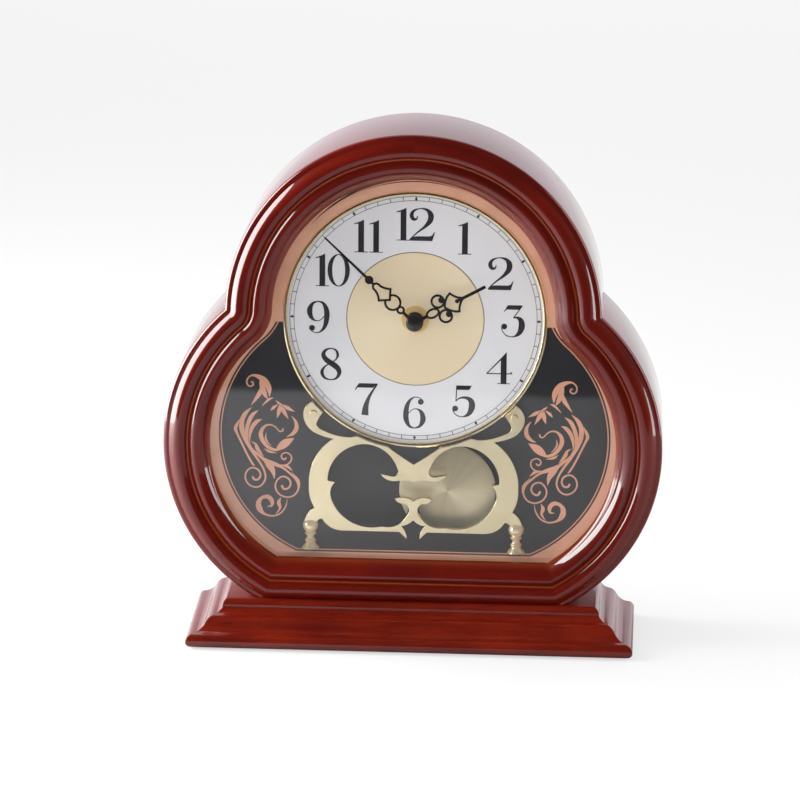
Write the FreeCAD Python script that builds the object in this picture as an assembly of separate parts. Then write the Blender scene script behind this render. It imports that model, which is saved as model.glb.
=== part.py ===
import FreeCAD, Part
import math
import os

# Mantel clock in a trefoil case, millimetres.
# X runs to the right as the dial is read, Y runs from the dial to the back, Z up.
# The origin is on the surface it stands on, under the middle of its footprint.

# Case outline: one top lobe and two side lobes of the same radius, with a flat foot
lobe_radius = 107.5
lobe_spread = 35.9
lobe_rise = 76.6
foot_cut = 12.1
notch_radius = 0.6
seat_z = 24.9
flat_sink = 3.5
case_depth = 56.0
overrun = 6.0
fit_gap = 0.3
running_gap = 0.05

# Plinth
plinth_half_width = 105.2
plinth_lead = 3.4
plinth_flare = 23.6
felt_thickness = 0.8
felt_inset = 9.0
plinth_shares = {
    "ovolo_top": ((0.13, 0.92), (0.17, 0.77)),
    "cove_top": ((0.26, 0.68), (0.394, 0.647)),
    "ovolo_low": ((0.53, 0.59), (0.572, 0.486)),
    "cove_low": ((0.66, 0.40), (0.822, 0.378)),
    "torus": ((1.0, 0.22), (0.88, 0.0)),
}

# Front frame moulding, measured inwards from its edge and forwards from its rim plane
frame_body = 20.0
face_width = 27.7
edge_bead_width = 4.0
edge_bead_rise = 4.6
crown_end = 14.5
crown_rise = 5.4
groove_rise = 1.6
groove_width = 0.6
inner_crown_end = 21.4
inner_crown_rise = 3.4
arris_rise = 1.2
sight_drop = 2.3
cove_sag = 1.2
lip_thickness = 2.0
rebate_width = 6.0
crown_steps = 8
bead_steps = 3
cove_steps = 3

# Sleeve, glass, spacer and boards
sleeve_wall = 10.0
board_ledge = 4.0
board_thickness = 3.0
glass_thickness = 2.0
spacer_wall = 2.0
panel_thickness = 3.0
panel_recess = 4.0
panel_ledge = 6.0

# Dial
dial_drop = 6.4
dial_margin = 3.8
dial_hole_gap = 0.2
dial_plate_lap = 1.0
dial_plate_thickness = 0.8
ring_width = 2.4
ring_proud = 1.0
ring_sleeve_wall = 0.7
centre_disc_radius = 39.2
centre_disc_thickness = 0.3

# Ornament, as half outlines in shares of its half width and height
ornament_half_width = 60.7
ornament_lap = 6.2
ornament_gap = 0.4
ornament_thickness = 4.0
foot_top_share = 0.216
curl_radius = 2.0
curl_proud = 0.6
curl_place_share = (0.955, 1.205)
foot_place_share = 0.985
foot_top_radius = 2.8
foot_knob_radius = 4.6
foot_neck_radius = 3.4
foot_waist_radius = 2.7
foot_toe_radius = 5.4
foot_height_shares = (1.0, 0.84, 0.64, 0.5, 0.3, 0.0)
ornament_start_share = (0.0, 0.773)
ornament_shares = [
    ("arc", (0.14, 0.855), (0.33, 0.985)),
    ("arc", (0.46, 1.015), (0.60, 1.003)),
    ("arc", (0.75, 1.02), (0.865, 1.06)),
    ("arc", (0.905, 1.08), (0.928, 1.115)),
    ("arc", (0.905, 1.165), (0.865, 1.215)),
    ("line", (0.865, 1.31)),
    ("line", (0.98, 1.31)),
    ("arc", (1.045, 1.235), (1.05, 1.165)),
    ("arc", (1.01, 1.085), (0.91, 1.02)),
    ("arc", (0.84, 0.998), (0.77, 0.985)),
    ("arc", (0.945, 0.805), (1.0, 0.56)),
    ("arc", (0.985, 0.44), (0.948, 0.365)),
    ("arc", (1.015, 0.305), (1.045, foot_top_share)),
    ("line", (0.93, foot_top_share)),
    ("arc", (0.915, 0.25), (0.873, 0.265)),
    ("arc", (0.80, 0.195), (0.69, 0.163)),
    ("line", (0.13, 0.163)),
    ("line", (0.06, 0.10)),
    ("arc", (0.075, 0.17), (0.11, 0.218)),
    ("arc", (0.05, 0.235), (0.0, 0.27)),
]
window_shares = [
    ("line", (0.0, 0.443)),
    ("arc", (0.075, 0.475), (0.178, 0.463)),
    ("arc", (0.14, 0.425), (0.085, 0.418)),
    ("arc", (0.045, 0.38), (0.065, 0.31)),
    ("arc", (0.14, 0.235), (0.30, 0.213)),
    ("arc", (0.63, 0.265), (0.787, 0.46)),
    ("arc", (0.79, 0.53), (0.742, 0.60)),
    ("line", (0.82, 0.612)),
    ("arc", (0.755, 0.80), (0.50, 0.94)),
    ("arc", (0.25, 0.865), (0.155, 0.73)),
    ("arc", (0.165, 0.672), (0.21, 0.664)),
    ("line", (0.32, 0.684)),
    ("arc", (0.255, 0.63), (0.155, 0.62)),
    ("arc", (0.08, 0.625), (0.0, 0.607)),
]
cutout_start_share = (0.0, 0.71)
cutout_shares = [
    ("line", (0.14, 0.71)),
    ("arc", (0.235, 0.86), (0.51, 0.962)),
    ("arc", (0.766, 0.842), (0.85, 0.613)),
    ("arc", (0.774, 0.31), (0.494, 0.193)),
    ("line", (0.264, 0.19)),
    ("arc", (0.107, 0.244), (0.053, 0.362)),
    ("line", (0.0, 0.362)),
]

# Hands, as half outlines in shares of each hand's length
minute_tip_gap = 4.5
minute_angle = 46.2
hour_length = 46.0
hour_angle = -61.2
hand_thickness = 0.4
minute_hand_depth = 13.6
hour_hand_depth = 15.0
hand_line = 1.3
hand_hub_radius = 4.4
bell_low_share = 0.262
bell_shares = [
    ("arc", (0.041, 0.298), (0.080, 0.333)),
    ("arc", (0.050, 0.372), (0.036, 0.412)),
    ("arc", (0.028, 0.448), (0.0, 0.464)),
]
star_low_share = 0.412
star_shares = [
    ("arc", (0.085, 0.470), (0.148, 0.575)),
    ("arc", (0.050, 0.640), (0.0, 0.730)),
]
minute_loop_share = 0.242
minute_loop_radius_share = 5.0 / 71.5
small_loop_share = 0.154
small_loop_radius_share = 2.5 / 71.5
blob_share = 0.506
blob_radius_share = 2.5 / 71.5
pointer_root_width = 1.8
pointer_tip_width = 1.0
neck_width = 2.2
hour_loop_radius_share = 4.2 / 46.0
hour_loop_share = (0.106, 0.385)
hour_ball_share = (0.100, 0.435)
hour_ball_radius_share = 1.9 / 46.0
pearl_share = 0.60
pearl_radius_share = 1.2 / 46.0
leaf_share = 0.258
leaf_half_length_share = 4.3 / 46.0
leaf_half_width_share = 3.0 / 46.0
hour_tip_width = 1.9
cap_radius = 5.0
cap_top_radius = 3.8
cap_edge_height = 0.8
cap_rim_height = 1.4
cap_height = 1.6
nut_radius = 7.8
nut_top_radius = 5.6
nut_edge_height = 1.1
nut_height = 2.4

# Movement case, around the hand shaft
washer_thickness = 0.8
movement_left = 27.0
movement_right = 43.0
movement_top = 26.0
movement_bottom = 32.0
movement_depth = 16.0
shell_wall = 1.4
cover_thickness = 1.4
boss_radius = 4.9
boss_reach = 3.8
screw_pillar_radius = 2.2
pillar_inset = 3.2

# Wheels: teeth, module and thickness, with depths from the back of the dial plate
hour_tube_radius = 2.6
arbor_radius = 1.7
tail_radius = 1.2
pivot_radius = 0.6
stub_radius = 0.8
wheel_thickness = 1.1
motion_centre = 12.0
cannon_teeth = 12
motion_teeth = 36
motion_pinion_teeth = 10
hour_teeth = 40
setting_teeth = 12
centre_teeth = 60
third_pinion_teeth = 8
third_teeth = 64
seconds_pinion_teeth = 8
seconds_teeth = 40
idler_pinion_teeth = 8
idler_teeth = 48
rotor_teeth = 8
train_centre = 12.24
idler_centre = 8.16
rotor_centre = 7.28
third_angle = 180.0
idler_angle = 0.0
rotor_angle = -62.0
motion_angle = 90.0
setting_angle = 0.0
addendum_share = 0.80
dedendum_share = 1.15
tooth_root_share = 0.52
tooth_tip_share = 0.20
hour_layer = 2.8
motion_layer = 4.6
centre_layer = 6.6
third_layer = 8.6
seconds_layer = 10.6
idler_layer = 12.4
magnet_radius = 2.4
magnet_length = 1.8
stator_width = 9.0
stator_gap = 0.5
coil_radius = 3.6
coil_length = 17.0
coil_x = 21.0
coil_z = -3.0
core_width = 2.2
motor_pillar_radius = 2.0
motor_pin_radius = 1.0
board_plate_width = 9.0
board_plate_height = 26.0
board_plate_x = -21.0
bridge_start = 3.0
bridge_thickness = 1.0
battery_radius = 7.0
battery_length = 49.0
battery_x = 34.4
battery_z = -2.6
battery_nub_radius = 2.7
battery_nub = 1.2
contact_thickness = 0.5
contact_width = 9.0
knob_radius = 6.0
knob_height = 4.6
knob_ribs = 12
knob_rib_radius = 0.75

# Pendulum
pivot_drop = 18.0
swing_angle = 12.6
rod_width = 2.2
rod_thickness = 0.8
bob_rise = 31.2
bob_radius = 28.2
bob_face_radius = 27.1
bob_step_radius = 14.1
bob_edge_height = 1.0
bob_thickness = 2.0
bob_step_height = 2.4
bob_crown_height = 2.56
bob_boss_radius = 3.2
bob_boss_tip_radius = 2.5
bob_boss_height = 1.2
hanger_radius = 2.6
hanger_length = 17.5
hanger_thickness = 2.4
pendulum_magnet_radius = 3.0
pendulum_magnet_drop = 8.0
drive_coil_radius = 4.4
drive_coil_bore = 1.2
drive_coil_length = 4.0
slot_half_width = 9.0

# Dark tray behind the pendulum window
tray_half_width = 54.0
tray_step = 0.5
tray_height = 58.0
tray_depth = 14.0
tray_wall = 1.2
tray_flange = 5.0

# Back door, hinges and turn button
door_half_width = 56.0
door_drop = 46.0
door_height = 91.0
door_gap = 0.5
hinge_leaf_width = 9.0
hinge_leaf_height = 22.0
hinge_leaf_thickness = 0.8
hinge_barrel_radius = 1.5
hinge_pin_radius = 0.7
hinge_knuckles = 3
hinge_inset = 22.0
hinge_side_gap = 0.25
hinge_lift = 0.1
button_length = 24.0
button_width = 8.0
button_thickness = 2.0
button_offset = 6.0
screw_head_radius = 3.0
small_head_radius = 2.4
screw_head_height = 1.2
screw_shank_radius = 1.2
panel_head_radius = 1.9
screw_length = 5.0
top_screw_angle = 30.0
side_screw_angle = 5.0
low_screw_angle = -45.0
plinth_screw_head_radius = 4.5
plinth_screw_head_height = 3.0
plinth_screw_sink = 6.0
plinth_screw_radius = 2.0
plinth_screw_grip = 4.0
plinth_screw_spacing = 62.0
clip_length = 14.0
clip_width = 8.0
clip_thickness = 1.0
clip_angles = (35, 145, 215, 325)

# Places and sizes that follow from the sizes above
side_lobe_z = seat_z - flat_sink + lobe_radius - foot_cut
top_lobe_z = side_lobe_z + lobe_rise
dial_z = top_lobe_z - dial_drop
ring_radius = lobe_radius - face_width - dial_margin
dial_hole_radius = ring_radius - ring_width + ring_sleeve_wall + dial_hole_gap
dial_plate_radius = ring_radius + dial_plate_lap
minute_length = ring_radius - minute_tip_gap
ornament_base_z = seat_z - flat_sink + face_width + ornament_gap
ornament_height = dial_z - ring_radius - ornament_base_z + ornament_lap
bob_drop = dial_z - pivot_drop - ornament_base_z - bob_rise
tray_low_z = ornament_base_z + tray_step
tray_high_z = tray_low_z + tray_height
door_low_z = dial_z - door_drop
door_high_z = door_low_z + door_height
rim_y = (plinth_lead + plinth_flare - case_depth) / 2
rear_y = rim_y + case_depth
frame_back_y = rim_y + frame_body
glass_y = rim_y + sight_drop + lip_thickness
spacer_y = glass_y + glass_thickness
board_y = frame_back_y
board_back_y = board_y + board_thickness
plate_back_y = board_back_y + dial_plate_thickness
movement_y = plate_back_y + washer_thickness
movement_floor_y = movement_y + shell_wall
cover_y = movement_y + movement_depth
movement_back_y = cover_y + cover_thickness
panel_y = rear_y - panel_recess - panel_thickness
panel_back_y = rear_y - panel_recess
ornament_y = board_y - ornament_thickness

solids = {}


def keep(name, *shapes):
    """Put one or more separate solids under a node's name."""
    solids.setdefault(name, []).extend(shapes)


def point(x, y, z):
    return FreeCAD.Vector(x, y, z)


def box(x0, x1, y0, y1, z0, z1):
    return Part.makeBox(x1 - x0, y1 - y0, z1 - z0, point(x0, y0, z0))


def rod(x, z, radius, y0, y1):
    """Round bar along the depth, from y0 to y1."""
    return Part.makeCylinder(radius, y1 - y0, point(x, y0, z), point(0, 1, 0))


def tube(x, z, outer, inner, y0, y1):
    bore = rod(x, z, inner, y0 - overrun, y1 + overrun)
    return rod(x, z, outer, y0, y1).cut(bore)


def upright(x, y, radius, z0, z1):
    return Part.makeCylinder(radius, z1 - z0, point(x, y, z0))


def prism(wire, y1):
    """Solid from a flat wire, carried along the depth to y1."""
    face = Part.Face(wire)
    return face.extrude(point(0, y1 - wire.BoundBox.YMin, 0))


def turned(profile, x, z):
    """Solid of revolution about the depth axis, from (radius, y) points."""
    places = [point(x + r, y, z) for r, y in profile]
    wire = Part.makePolygon(places + places[:1])
    return Part.Face(wire).revolve(point(x, 0, z), point(0, 1, 0), 360)


def spin(shape, x, z, degrees):
    """Copy turned about the depth axis, anticlockwise as the dial is read."""
    copy = shape.copy()
    copy.rotate(point(x, 0, z), point(0, -1, 0), degrees)
    return copy


def mirrored(shape):
    return shape.mirror(point(0, 0, 0), point(1, 0, 0))


def notch_centre():
    """Point where the enlarged top lobe and right lobe cross."""
    rise = top_lobe_z - side_lobe_z
    span = math.hypot(lobe_spread, rise)
    reach = math.sqrt((lobe_radius + notch_radius) ** 2 - span ** 2 / 4)
    x = lobe_spread / 2 + reach * rise / span
    z = (top_lobe_z + side_lobe_z) / 2 + reach * lobe_spread / span
    return x, z


def trefoil(inset, y):
    """Closed outline parallel to the case's edge: three lobes, two notches and a foot."""
    radius = lobe_radius - inset
    fillet = notch_radius + inset
    nx, nz = notch_centre()
    full = radius + fillet
    flat = seat_z - flat_sink + inset
    top = (nx * radius / full, top_lobe_z + (nz - top_lobe_z) * radius / full)
    side = (lobe_spread + (nx - lobe_spread) * radius / full,
            side_lobe_z + (nz - side_lobe_z) * radius / full)
    corner = (lobe_spread + math.sqrt(radius ** 2 - (side_lobe_z - flat) ** 2), flat)
    start = math.atan2(side[1] - side_lobe_z, side[0] - lobe_spread)
    end = math.atan2(flat - side_lobe_z, corner[0] - lobe_spread)
    middle = (start + end) / 2
    lobe = (lobe_spread + radius * math.cos(middle), side_lobe_z + radius * math.sin(middle))
    bend = math.atan2((top_lobe_z + side_lobe_z) / 2 - nz, lobe_spread / 2 - nx)
    notch = (nx + fillet * math.cos(bend), nz + fillet * math.sin(bend))
    crest = (0, top_lobe_z + radius)

    def arc(a, b, c, side_sign):
        places = [point(side_sign * p[0], y, p[1]) for p in (a, b, c)]
        return Part.Arc(*places).toShape()

    left_corner = point(-corner[0], y, corner[1])
    edges = [
        Part.Arc(point(-top[0], y, top[1]), point(crest[0], y, crest[1]),
                 point(top[0], y, top[1])).toShape(),
        arc(top, notch, side, 1),
        arc(side, lobe, corner, 1),
        Part.LineSegment(point(corner[0], y, corner[1]), left_corner).toShape(),
        arc(corner, lobe, side, -1),
        arc(side, notch, top, -1),
    ]
    return Part.Wire(edges)


def crown(start, end, low, high, rise, steps):
    """Points of one rounded band of the moulding, as (inset, height) pairs."""
    places = []
    for i in range(1, steps + 1):
        turn = math.pi * i / steps
        inset = start + (end - start) * (1 - math.cos(turn)) / 2
        height = low + (high - low) * i / steps + rise * math.sin(turn)
        places.append((inset, height))
    return places


def edge_bead():
    """Quarter round from the rim plane up to the first band."""
    places = []
    for i in range(bead_steps + 1):
        turn = math.pi / 2 * i / bead_steps
        inset = edge_bead_width * (1 - math.cos(turn))
        places.append((inset, edge_bead_rise * math.sin(turn)))
    return places


def inner_cove():
    """Hollow curve from the arris down to the sight edge."""
    places = []
    for i in range(1, cove_steps + 1):
        share = i / cove_steps
        inset = inner_crown_end + (face_width - inner_crown_end) * share
        fall = (arris_rise + sight_drop) * share + cove_sag * math.sin(math.pi * share)
        places.append((inset, arris_rise - fall))
    return places


def moulding():
    bands = edge_bead()
    bands += crown(edge_bead_width, crown_end, edge_bead_rise, groove_rise, crown_rise, crown_steps)
    bands.append((crown_end + groove_width, groove_rise))
    bands += crown(crown_end + groove_width, inner_crown_end, groove_rise, arris_rise,
                   inner_crown_rise, crown_steps)
    return bands + inner_cove()


def below_seat(reach):
    """Block that trims the case flat where it stands on the plinth."""
    far = 2 * lobe_radius
    return box(-far, far, rim_y - reach, rear_y + reach, -far, seat_z)


def front_frame():
    sections = [trefoil(0, frame_back_y)]
    sections += [trefoil(inset, rim_y - height) for inset, height in moulding()]
    blank = Part.makeLoft(sections, True, True)
    sight_y = rim_y + sight_drop
    opening = prism(trefoil(face_width, sight_y - overrun), frame_back_y + overrun)
    rebate = prism(trefoil(face_width - rebate_width, glass_y), frame_back_y + overrun)
    frame = blank.cut(opening).cut(rebate)
    keep("front_frame", frame.cut(below_seat(2 * overrun)))


def case_rim():
    body = prism(trefoil(0, frame_back_y), rear_y)
    hollow = prism(trefoil(sleeve_wall, frame_back_y - overrun), rear_y + overrun)
    board_seat = prism(trefoil(board_ledge, frame_back_y - overrun), board_back_y)
    panel_seat = prism(trefoil(panel_ledge, panel_y), rear_y + overrun)
    rim = body.cut(hollow).cut(board_seat).cut(panel_seat)
    rim = rim.cut(below_seat(overrun))
    for x in plinth_screw_places():
        rim = rim.cut(upright(x, plinth_screw_y(), plinth_screw_radius, seat_z - overrun,
                              seat_z + plinth_screw_grip))
    for x, z in panel_screw_places():
        rim = rim.cut(rod(x, z, screw_shank_radius, panel_y - screw_length, panel_y + overrun))
    keep("case_rim", rim)


def plinth_profile():
    """Flare outwards and height of the plinth's moulding, from the top down."""
    height = seat_z - felt_thickness
    places = [((0, seat_z), None)]
    for middle, end in plinth_shares.values():
        via = (middle[0] * plinth_flare, felt_thickness + middle[1] * height)
        stop = (end[0] * plinth_flare, felt_thickness + end[1] * height)
        places.append((stop, via))
    return places


def plinth_edges(place):
    """Edges of the moulded side, where place turns (flare, height) into a point."""
    profile = plinth_profile()
    edges = []
    last = place(profile[0][0])
    for stop, via in profile[1:]:
        edges.append(Part.Arc(last, place(via), place(stop)).toShape())
        last = place(stop)
    return edges, place(profile[0][0]), last


def plinth():
    far = plinth_half_width + plinth_flare + overrun
    front = rim_y - plinth_lead
    edges, top, bottom = plinth_edges(lambda p: point(-far, front - p[0], p[1]))
    back_low = point(-far, rear_y, felt_thickness)
    back_high = point(-far, rear_y, seat_z)
    edges += [Part.LineSegment(bottom, back_low).toShape(),
              Part.LineSegment(back_low, back_high).toShape(),
              Part.LineSegment(back_high, top).toShape()]
    length = Part.Face(Part.Wire(edges)).extrude(point(2 * far, 0, 0))
    near = front - plinth_flare - overrun
    right, right_top, right_low = plinth_edges(lambda p: point(plinth_half_width + p[0], near, p[1]))
    left, left_top, left_low = plinth_edges(lambda p: point(-plinth_half_width - p[0], near, p[1]))
    ends = right + [Part.LineSegment(right_low, left_low).toShape()]
    ends += left[::-1] + [Part.LineSegment(left_top, right_top).toShape()]
    across = Part.Face(Part.Wire(Part.__sortEdges__(ends)))
    body = length.common(across.extrude(point(0, rear_y + overrun - near, 0)))
    for x in plinth_screw_places():
        body = body.cut(upright(x, plinth_screw_y(), plinth_screw_radius, 0, seat_z + overrun))
        body = body.cut(upright(x, plinth_screw_y(), plinth_screw_head_radius + fit_gap, 0,
                                plinth_screw_sink))
    keep("plinth", body)
    felt = box(-plinth_half_width - felt_inset, plinth_half_width + felt_inset,
               front - felt_inset, rear_y - felt_inset, 0, felt_thickness)
    keep("base_felt", felt)


def plinth_screw_places():
    return [-plinth_screw_spacing, 0, plinth_screw_spacing]


def plinth_screw_y():
    return (frame_back_y + rear_y) / 2


def plinth_screws():
    for x in plinth_screw_places():
        low = plinth_screw_sink - plinth_screw_head_height
        head = upright(x, plinth_screw_y(), plinth_screw_head_radius, low, plinth_screw_sink)
        shank = upright(x, plinth_screw_y(), plinth_screw_radius, plinth_screw_sink,
                        seat_z + plinth_screw_grip)
        keep("plinth_screws", head.fuse(shank).removeSplitter())


def glazing():
    edge = face_width - rebate_width + fit_gap
    keep("front_glass", prism(trefoil(edge, glass_y), spacer_y))
    outer = prism(trefoil(edge, spacer_y), frame_back_y)
    inner = prism(trefoil(edge + spacer_wall, spacer_y - overrun), frame_back_y + overrun)
    keep("glass_spacer", outer.cut(inner))


def share_edges(start, steps, y, half, height, base):
    """Lines and arcs through shares of a half width and a height, and the last point."""
    def place(share):
        return point(share[0] * half, y, base + share[1] * height)
    edges = []
    last = place(start)
    for step in steps:
        stop = place(step[-1])
        if step[0] == "arc":
            edges.append(Part.Arc(last, place(step[1]), stop).toShape())
        else:
            edges.append(Part.LineSegment(last, stop).toShape())
        last = stop
    return edges, last


def half_solid(start, steps, y0, y1, half, height, base):
    """Prism over one half outline whose ends both lie on the middle plane."""
    edges, last = share_edges(start, steps, y0, half, height, base)
    first = point(start[0] * half, y0, base + start[1] * height)
    if last.distanceToPoint(first) > 0:
        edges.append(Part.LineSegment(last, first).toShape())
    return prism(Part.Wire(edges), y1)


def both_halves(shape):
    return shape.fuse(mirrored(shape)).removeSplitter()


def dial_board():
    board = prism(trefoil(board_ledge + fit_gap, board_y), board_back_y)
    hole = rod(0, dial_z, dial_hole_radius, board_y - overrun, board_back_y + overrun)
    window = half_solid(cutout_start_share, cutout_shares, board_y - overrun, board_back_y + overrun,
                        ornament_half_width, ornament_height, ornament_base_z)
    keep("dial_board", board.cut(hole).cut(both_halves(window)))


def dial():
    plate = rod(0, dial_z, dial_plate_radius, board_back_y, plate_back_y)
    keep("dial_plate", plate.cut(rod(0, dial_z, boss_radius + running_gap,
                                     board_back_y - overrun, plate_back_y + overrun)))
    inner = ring_radius - ring_width
    front = board_y - ring_proud
    profile = [(inner, board_back_y), (inner, front + ring_proud / 2), (inner + ring_width / 4, front),
               (ring_radius - ring_width / 3, front), (ring_radius, front + ring_proud / 2),
               (ring_radius, board_y), (inner + ring_sleeve_wall, board_y),
               (inner + ring_sleeve_wall, board_back_y)]
    keep("dial_ring", turned(profile, 0, dial_z))
    keep("dial_centre_disc", tube(0, dial_z, centre_disc_radius, boss_radius + running_gap,
                                  board_back_y - centre_disc_thickness, board_back_y))


def dial_clips():
    """Small angled clips, each with a screw, that press the dial plate to the board."""
    inner = ring_radius - clip_width / 2
    outer = inner + clip_length
    heel = dial_plate_radius + fit_gap
    for degrees in clip_angles:
        x, z = outer - clip_width / 2, dial_z
        arm = box(inner, outer, plate_back_y, plate_back_y + clip_thickness, z - clip_width / 2,
                  z + clip_width / 2)
        foot = box(heel, outer, board_back_y, plate_back_y, z - clip_width / 2, z + clip_width / 2)
        head = rod(x, z, small_head_radius, plate_back_y + clip_thickness,
                   plate_back_y + clip_thickness + screw_head_height)
        clip = arm.fuse(foot).fuse(head).removeSplitter()
        keep("dial_clips", spin(clip, 0, dial_z, degrees))


def ornament():
    half = half_solid(ornament_start_share, ornament_shares + window_shares, ornament_y, board_y,
                      ornament_half_width, ornament_height, ornament_base_z)
    curl = rod(curl_place_share[0] * ornament_half_width,
               ornament_base_z + curl_place_share[1] * ornament_height,
               curl_radius, ornament_y - curl_proud, board_y)
    panel = both_halves(half.fuse(curl))
    seat = rod(0, dial_z, ring_radius + fit_gap, ornament_y - overrun, board_y + overrun)
    keep("ornament_panel", panel.cut(seat))


def ornament_feet():
    """Turned feet under the legs, cut flat where they lie against the board."""
    top = ornament_base_z + foot_top_share * ornament_height
    height = top - ornament_base_z
    middle = ornament_y + ornament_thickness / 2
    radii = (foot_top_radius, foot_knob_radius, foot_neck_radius, foot_waist_radius,
             foot_waist_radius, foot_toe_radius)
    profile = [(r, ornament_base_z + share * height) for r, share in zip(radii, foot_height_shares)]
    profile = [(0, top)] + profile + [(0, ornament_base_z)]
    widest = foot_toe_radius
    for side in (-1, 1):
        x = side * foot_place_share * ornament_half_width
        places = [point(x + r, middle, z) for r, z in profile]
        face = Part.Face(Part.makePolygon(places + places[:1]))
        foot = face.revolve(point(x, middle, 0), point(0, 0, 1), 360)
        behind = box(x - 2 * widest, x + 2 * widest, board_y, board_y + 2 * widest, 0, dial_z)
        keep("ornament_feet", foot.cut(behind))


def taper(root_z, tip_z, root_width, tip_width, y0, y1):
    """Flat pointer that narrows from its root to its tip."""
    places = [(-root_width / 2, root_z), (root_width / 2, root_z),
              (tip_width / 2, tip_z), (-tip_width / 2, tip_z)]
    wire = Part.makePolygon([point(x, y0, z) for x, z in places + places[:1]])
    return prism(wire, y1)


def outline_frame(start, steps, length, y0, y1):
    """Closed line of even width that follows a half outline and its mirror image."""
    body = half_solid(start, steps, y0, y1, length, length, dial_z)
    body = both_halves(body)
    face = [f for f in body.Faces if abs(f.normalAt(0, 0).y) > 0.5][0]
    inner = face.makeOffset2D(-hand_line)
    depth = y1 - y0 + 2 * overrun
    inner.translate(point(0, y0 - overrun - inner.BoundBox.YMin, 0))
    return body.cut(inner.extrude(point(0, depth, 0)))


def hub_plate(bore, y0, y1):
    return rod(0, dial_z, hand_hub_radius, y0, y1), rod(0, dial_z, bore, y0 - overrun, y1 + overrun)


def minute_hand():
    y0 = rim_y + minute_hand_depth
    y1 = y0 + hand_thickness
    hub, bore = hub_plate(arbor_radius, y0, y1)
    loop_z = dial_z + minute_loop_share * minute_length
    small_z = dial_z + small_loop_share * minute_length
    blob_z = dial_z + blob_share * minute_length
    loop_radius = minute_loop_radius_share * minute_length
    small_radius = small_loop_radius_share * minute_length
    loop = tube(0, loop_z, loop_radius, loop_radius - hand_line, y0, y1)
    small = tube(0, small_z, small_radius, small_radius - hand_line, y0, y1)
    bell = outline_frame((0, bell_low_share), bell_shares, minute_length, y0, y1)
    within = half_solid((0, bell_low_share), bell_shares, y0 - overrun, y1 + overrun,
                        minute_length, minute_length, dial_z)
    loop = loop.cut(both_halves(within))
    blob = rod(0, blob_z, blob_radius_share * minute_length, y0, y1)
    bell_top = dial_z + bell_shares[-1][-1][1] * minute_length
    pointer = taper(bell_top - hand_line, dial_z + minute_length, pointer_root_width,
                    pointer_tip_width, y0, y1)
    neck = taper(dial_z, small_z - small_radius + hand_line, pointer_root_width,
                 pointer_root_width, y0, y1)
    shape = hub.multiFuse([loop, small, bell, blob, pointer, neck]).removeSplitter().cut(bore)
    keep("minute_hand", spin(shape, 0, dial_z, minute_angle))


def hour_hand():
    y0 = rim_y + hour_hand_depth
    y1 = y0 + hand_thickness
    hub, bore = hub_plate(hour_tube_radius, y0, y1)
    star = outline_frame((0, star_low_share), star_shares, hour_length, y0, y1)
    parts = [star]
    loop_radius = hour_loop_radius_share * hour_length
    for side in (-1, 1):
        x = side * hour_loop_share[0] * hour_length
        z = dial_z + hour_loop_share[1] * hour_length
        parts.append(tube(x, z, loop_radius, loop_radius - hand_line, y0, y1))
        x = side * hour_ball_share[0] * hour_length
        z = dial_z + hour_ball_share[1] * hour_length
        parts.append(rod(x, z, hour_ball_radius_share * hour_length, y0, y1))
    within = half_solid((0, star_low_share), star_shares, y0 - overrun, y1 + overrun,
                        hour_length, hour_length, dial_z)
    within = both_halves(within)
    parts = [star] + [p.cut(within) for p in parts[1:]]
    parts.append(leaf_loop(y0, y1))
    leaf_end = dial_z + (leaf_share - leaf_half_length_share) * hour_length + hand_line
    parts.append(taper(dial_z, leaf_end, neck_width, pointer_root_width, y0, y1))
    pearl_z = dial_z + pearl_share * hour_length
    parts.append(rod(0, pearl_z, pearl_radius_share * hour_length, y0, y1))
    parts.append(taper(pearl_z, dial_z + hour_length, pointer_root_width, hour_tip_width, y0, y1))
    shape = hub.multiFuse(parts).removeSplitter().cut(bore)
    keep("hour_hand", spin(shape, 0, dial_z, hour_angle))


def leaf_loop(y0, y1):
    """Oval loop behind the star of the hour hand."""
    def oval(along, across, low, high):
        curve = Part.Ellipse(point(0, low, dial_z + leaf_share * hour_length + along),
                             point(across, low, dial_z + leaf_share * hour_length),
                             point(0, low, dial_z + leaf_share * hour_length))
        return prism(Part.Wire([curve.toShape()]), high)
    half_length = leaf_half_length_share * hour_length
    half_width = leaf_half_width_share * hour_length
    outer = oval(half_length, half_width, y0, y1)
    inner = oval(half_length - hand_line, half_width - hand_line, y0 - overrun, y1 + overrun)
    return outer.cut(inner)


def hub_fittings():
    """Nut on the threaded boss, and the cap that holds the minute hand."""
    nut_back = board_back_y - centre_disc_thickness
    profile = [(boss_radius, nut_back), (nut_radius, nut_back),
               (nut_radius, nut_back - nut_edge_height), (nut_top_radius, nut_back - nut_height),
               (boss_radius, nut_back - nut_height)]
    keep("mounting_nut", turned(profile, 0, dial_z))
    cap_back = rim_y + minute_hand_depth
    profile = [(0, cap_back), (cap_radius, cap_back), (cap_radius, cap_back - cap_edge_height),
               (cap_top_radius, cap_back - cap_rim_height), (0, cap_back - cap_height)]
    keep("hand_cap", turned(profile, 0, dial_z))


def wheel_depth(layer):
    return plate_back_y + layer


def gear(teeth, module, phase, x, z, y0, y1):
    """Toothed disc with flat-sided teeth, one of them centred on the phase angle."""
    pitch = teeth * module / 2
    tip = pitch + addendum_share * module
    root = pitch - dedendum_share * module
    step = 2 * math.pi / teeth
    places = []
    for i in range(teeth):
        centre = phase + i * step
        for radius, half in ((root, tooth_root_share / 2), (tip, tooth_tip_share / 2)):
            places.append((radius, centre - half * step))
        for radius, half in ((tip, tooth_tip_share / 2), (root, tooth_root_share / 2)):
            places.append((radius, centre + half * step))
    points = [point(x + r * math.cos(a), y0, z + r * math.sin(a)) for r, a in places]
    return prism(Part.makePolygon(points + points[:1]), y1)


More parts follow.
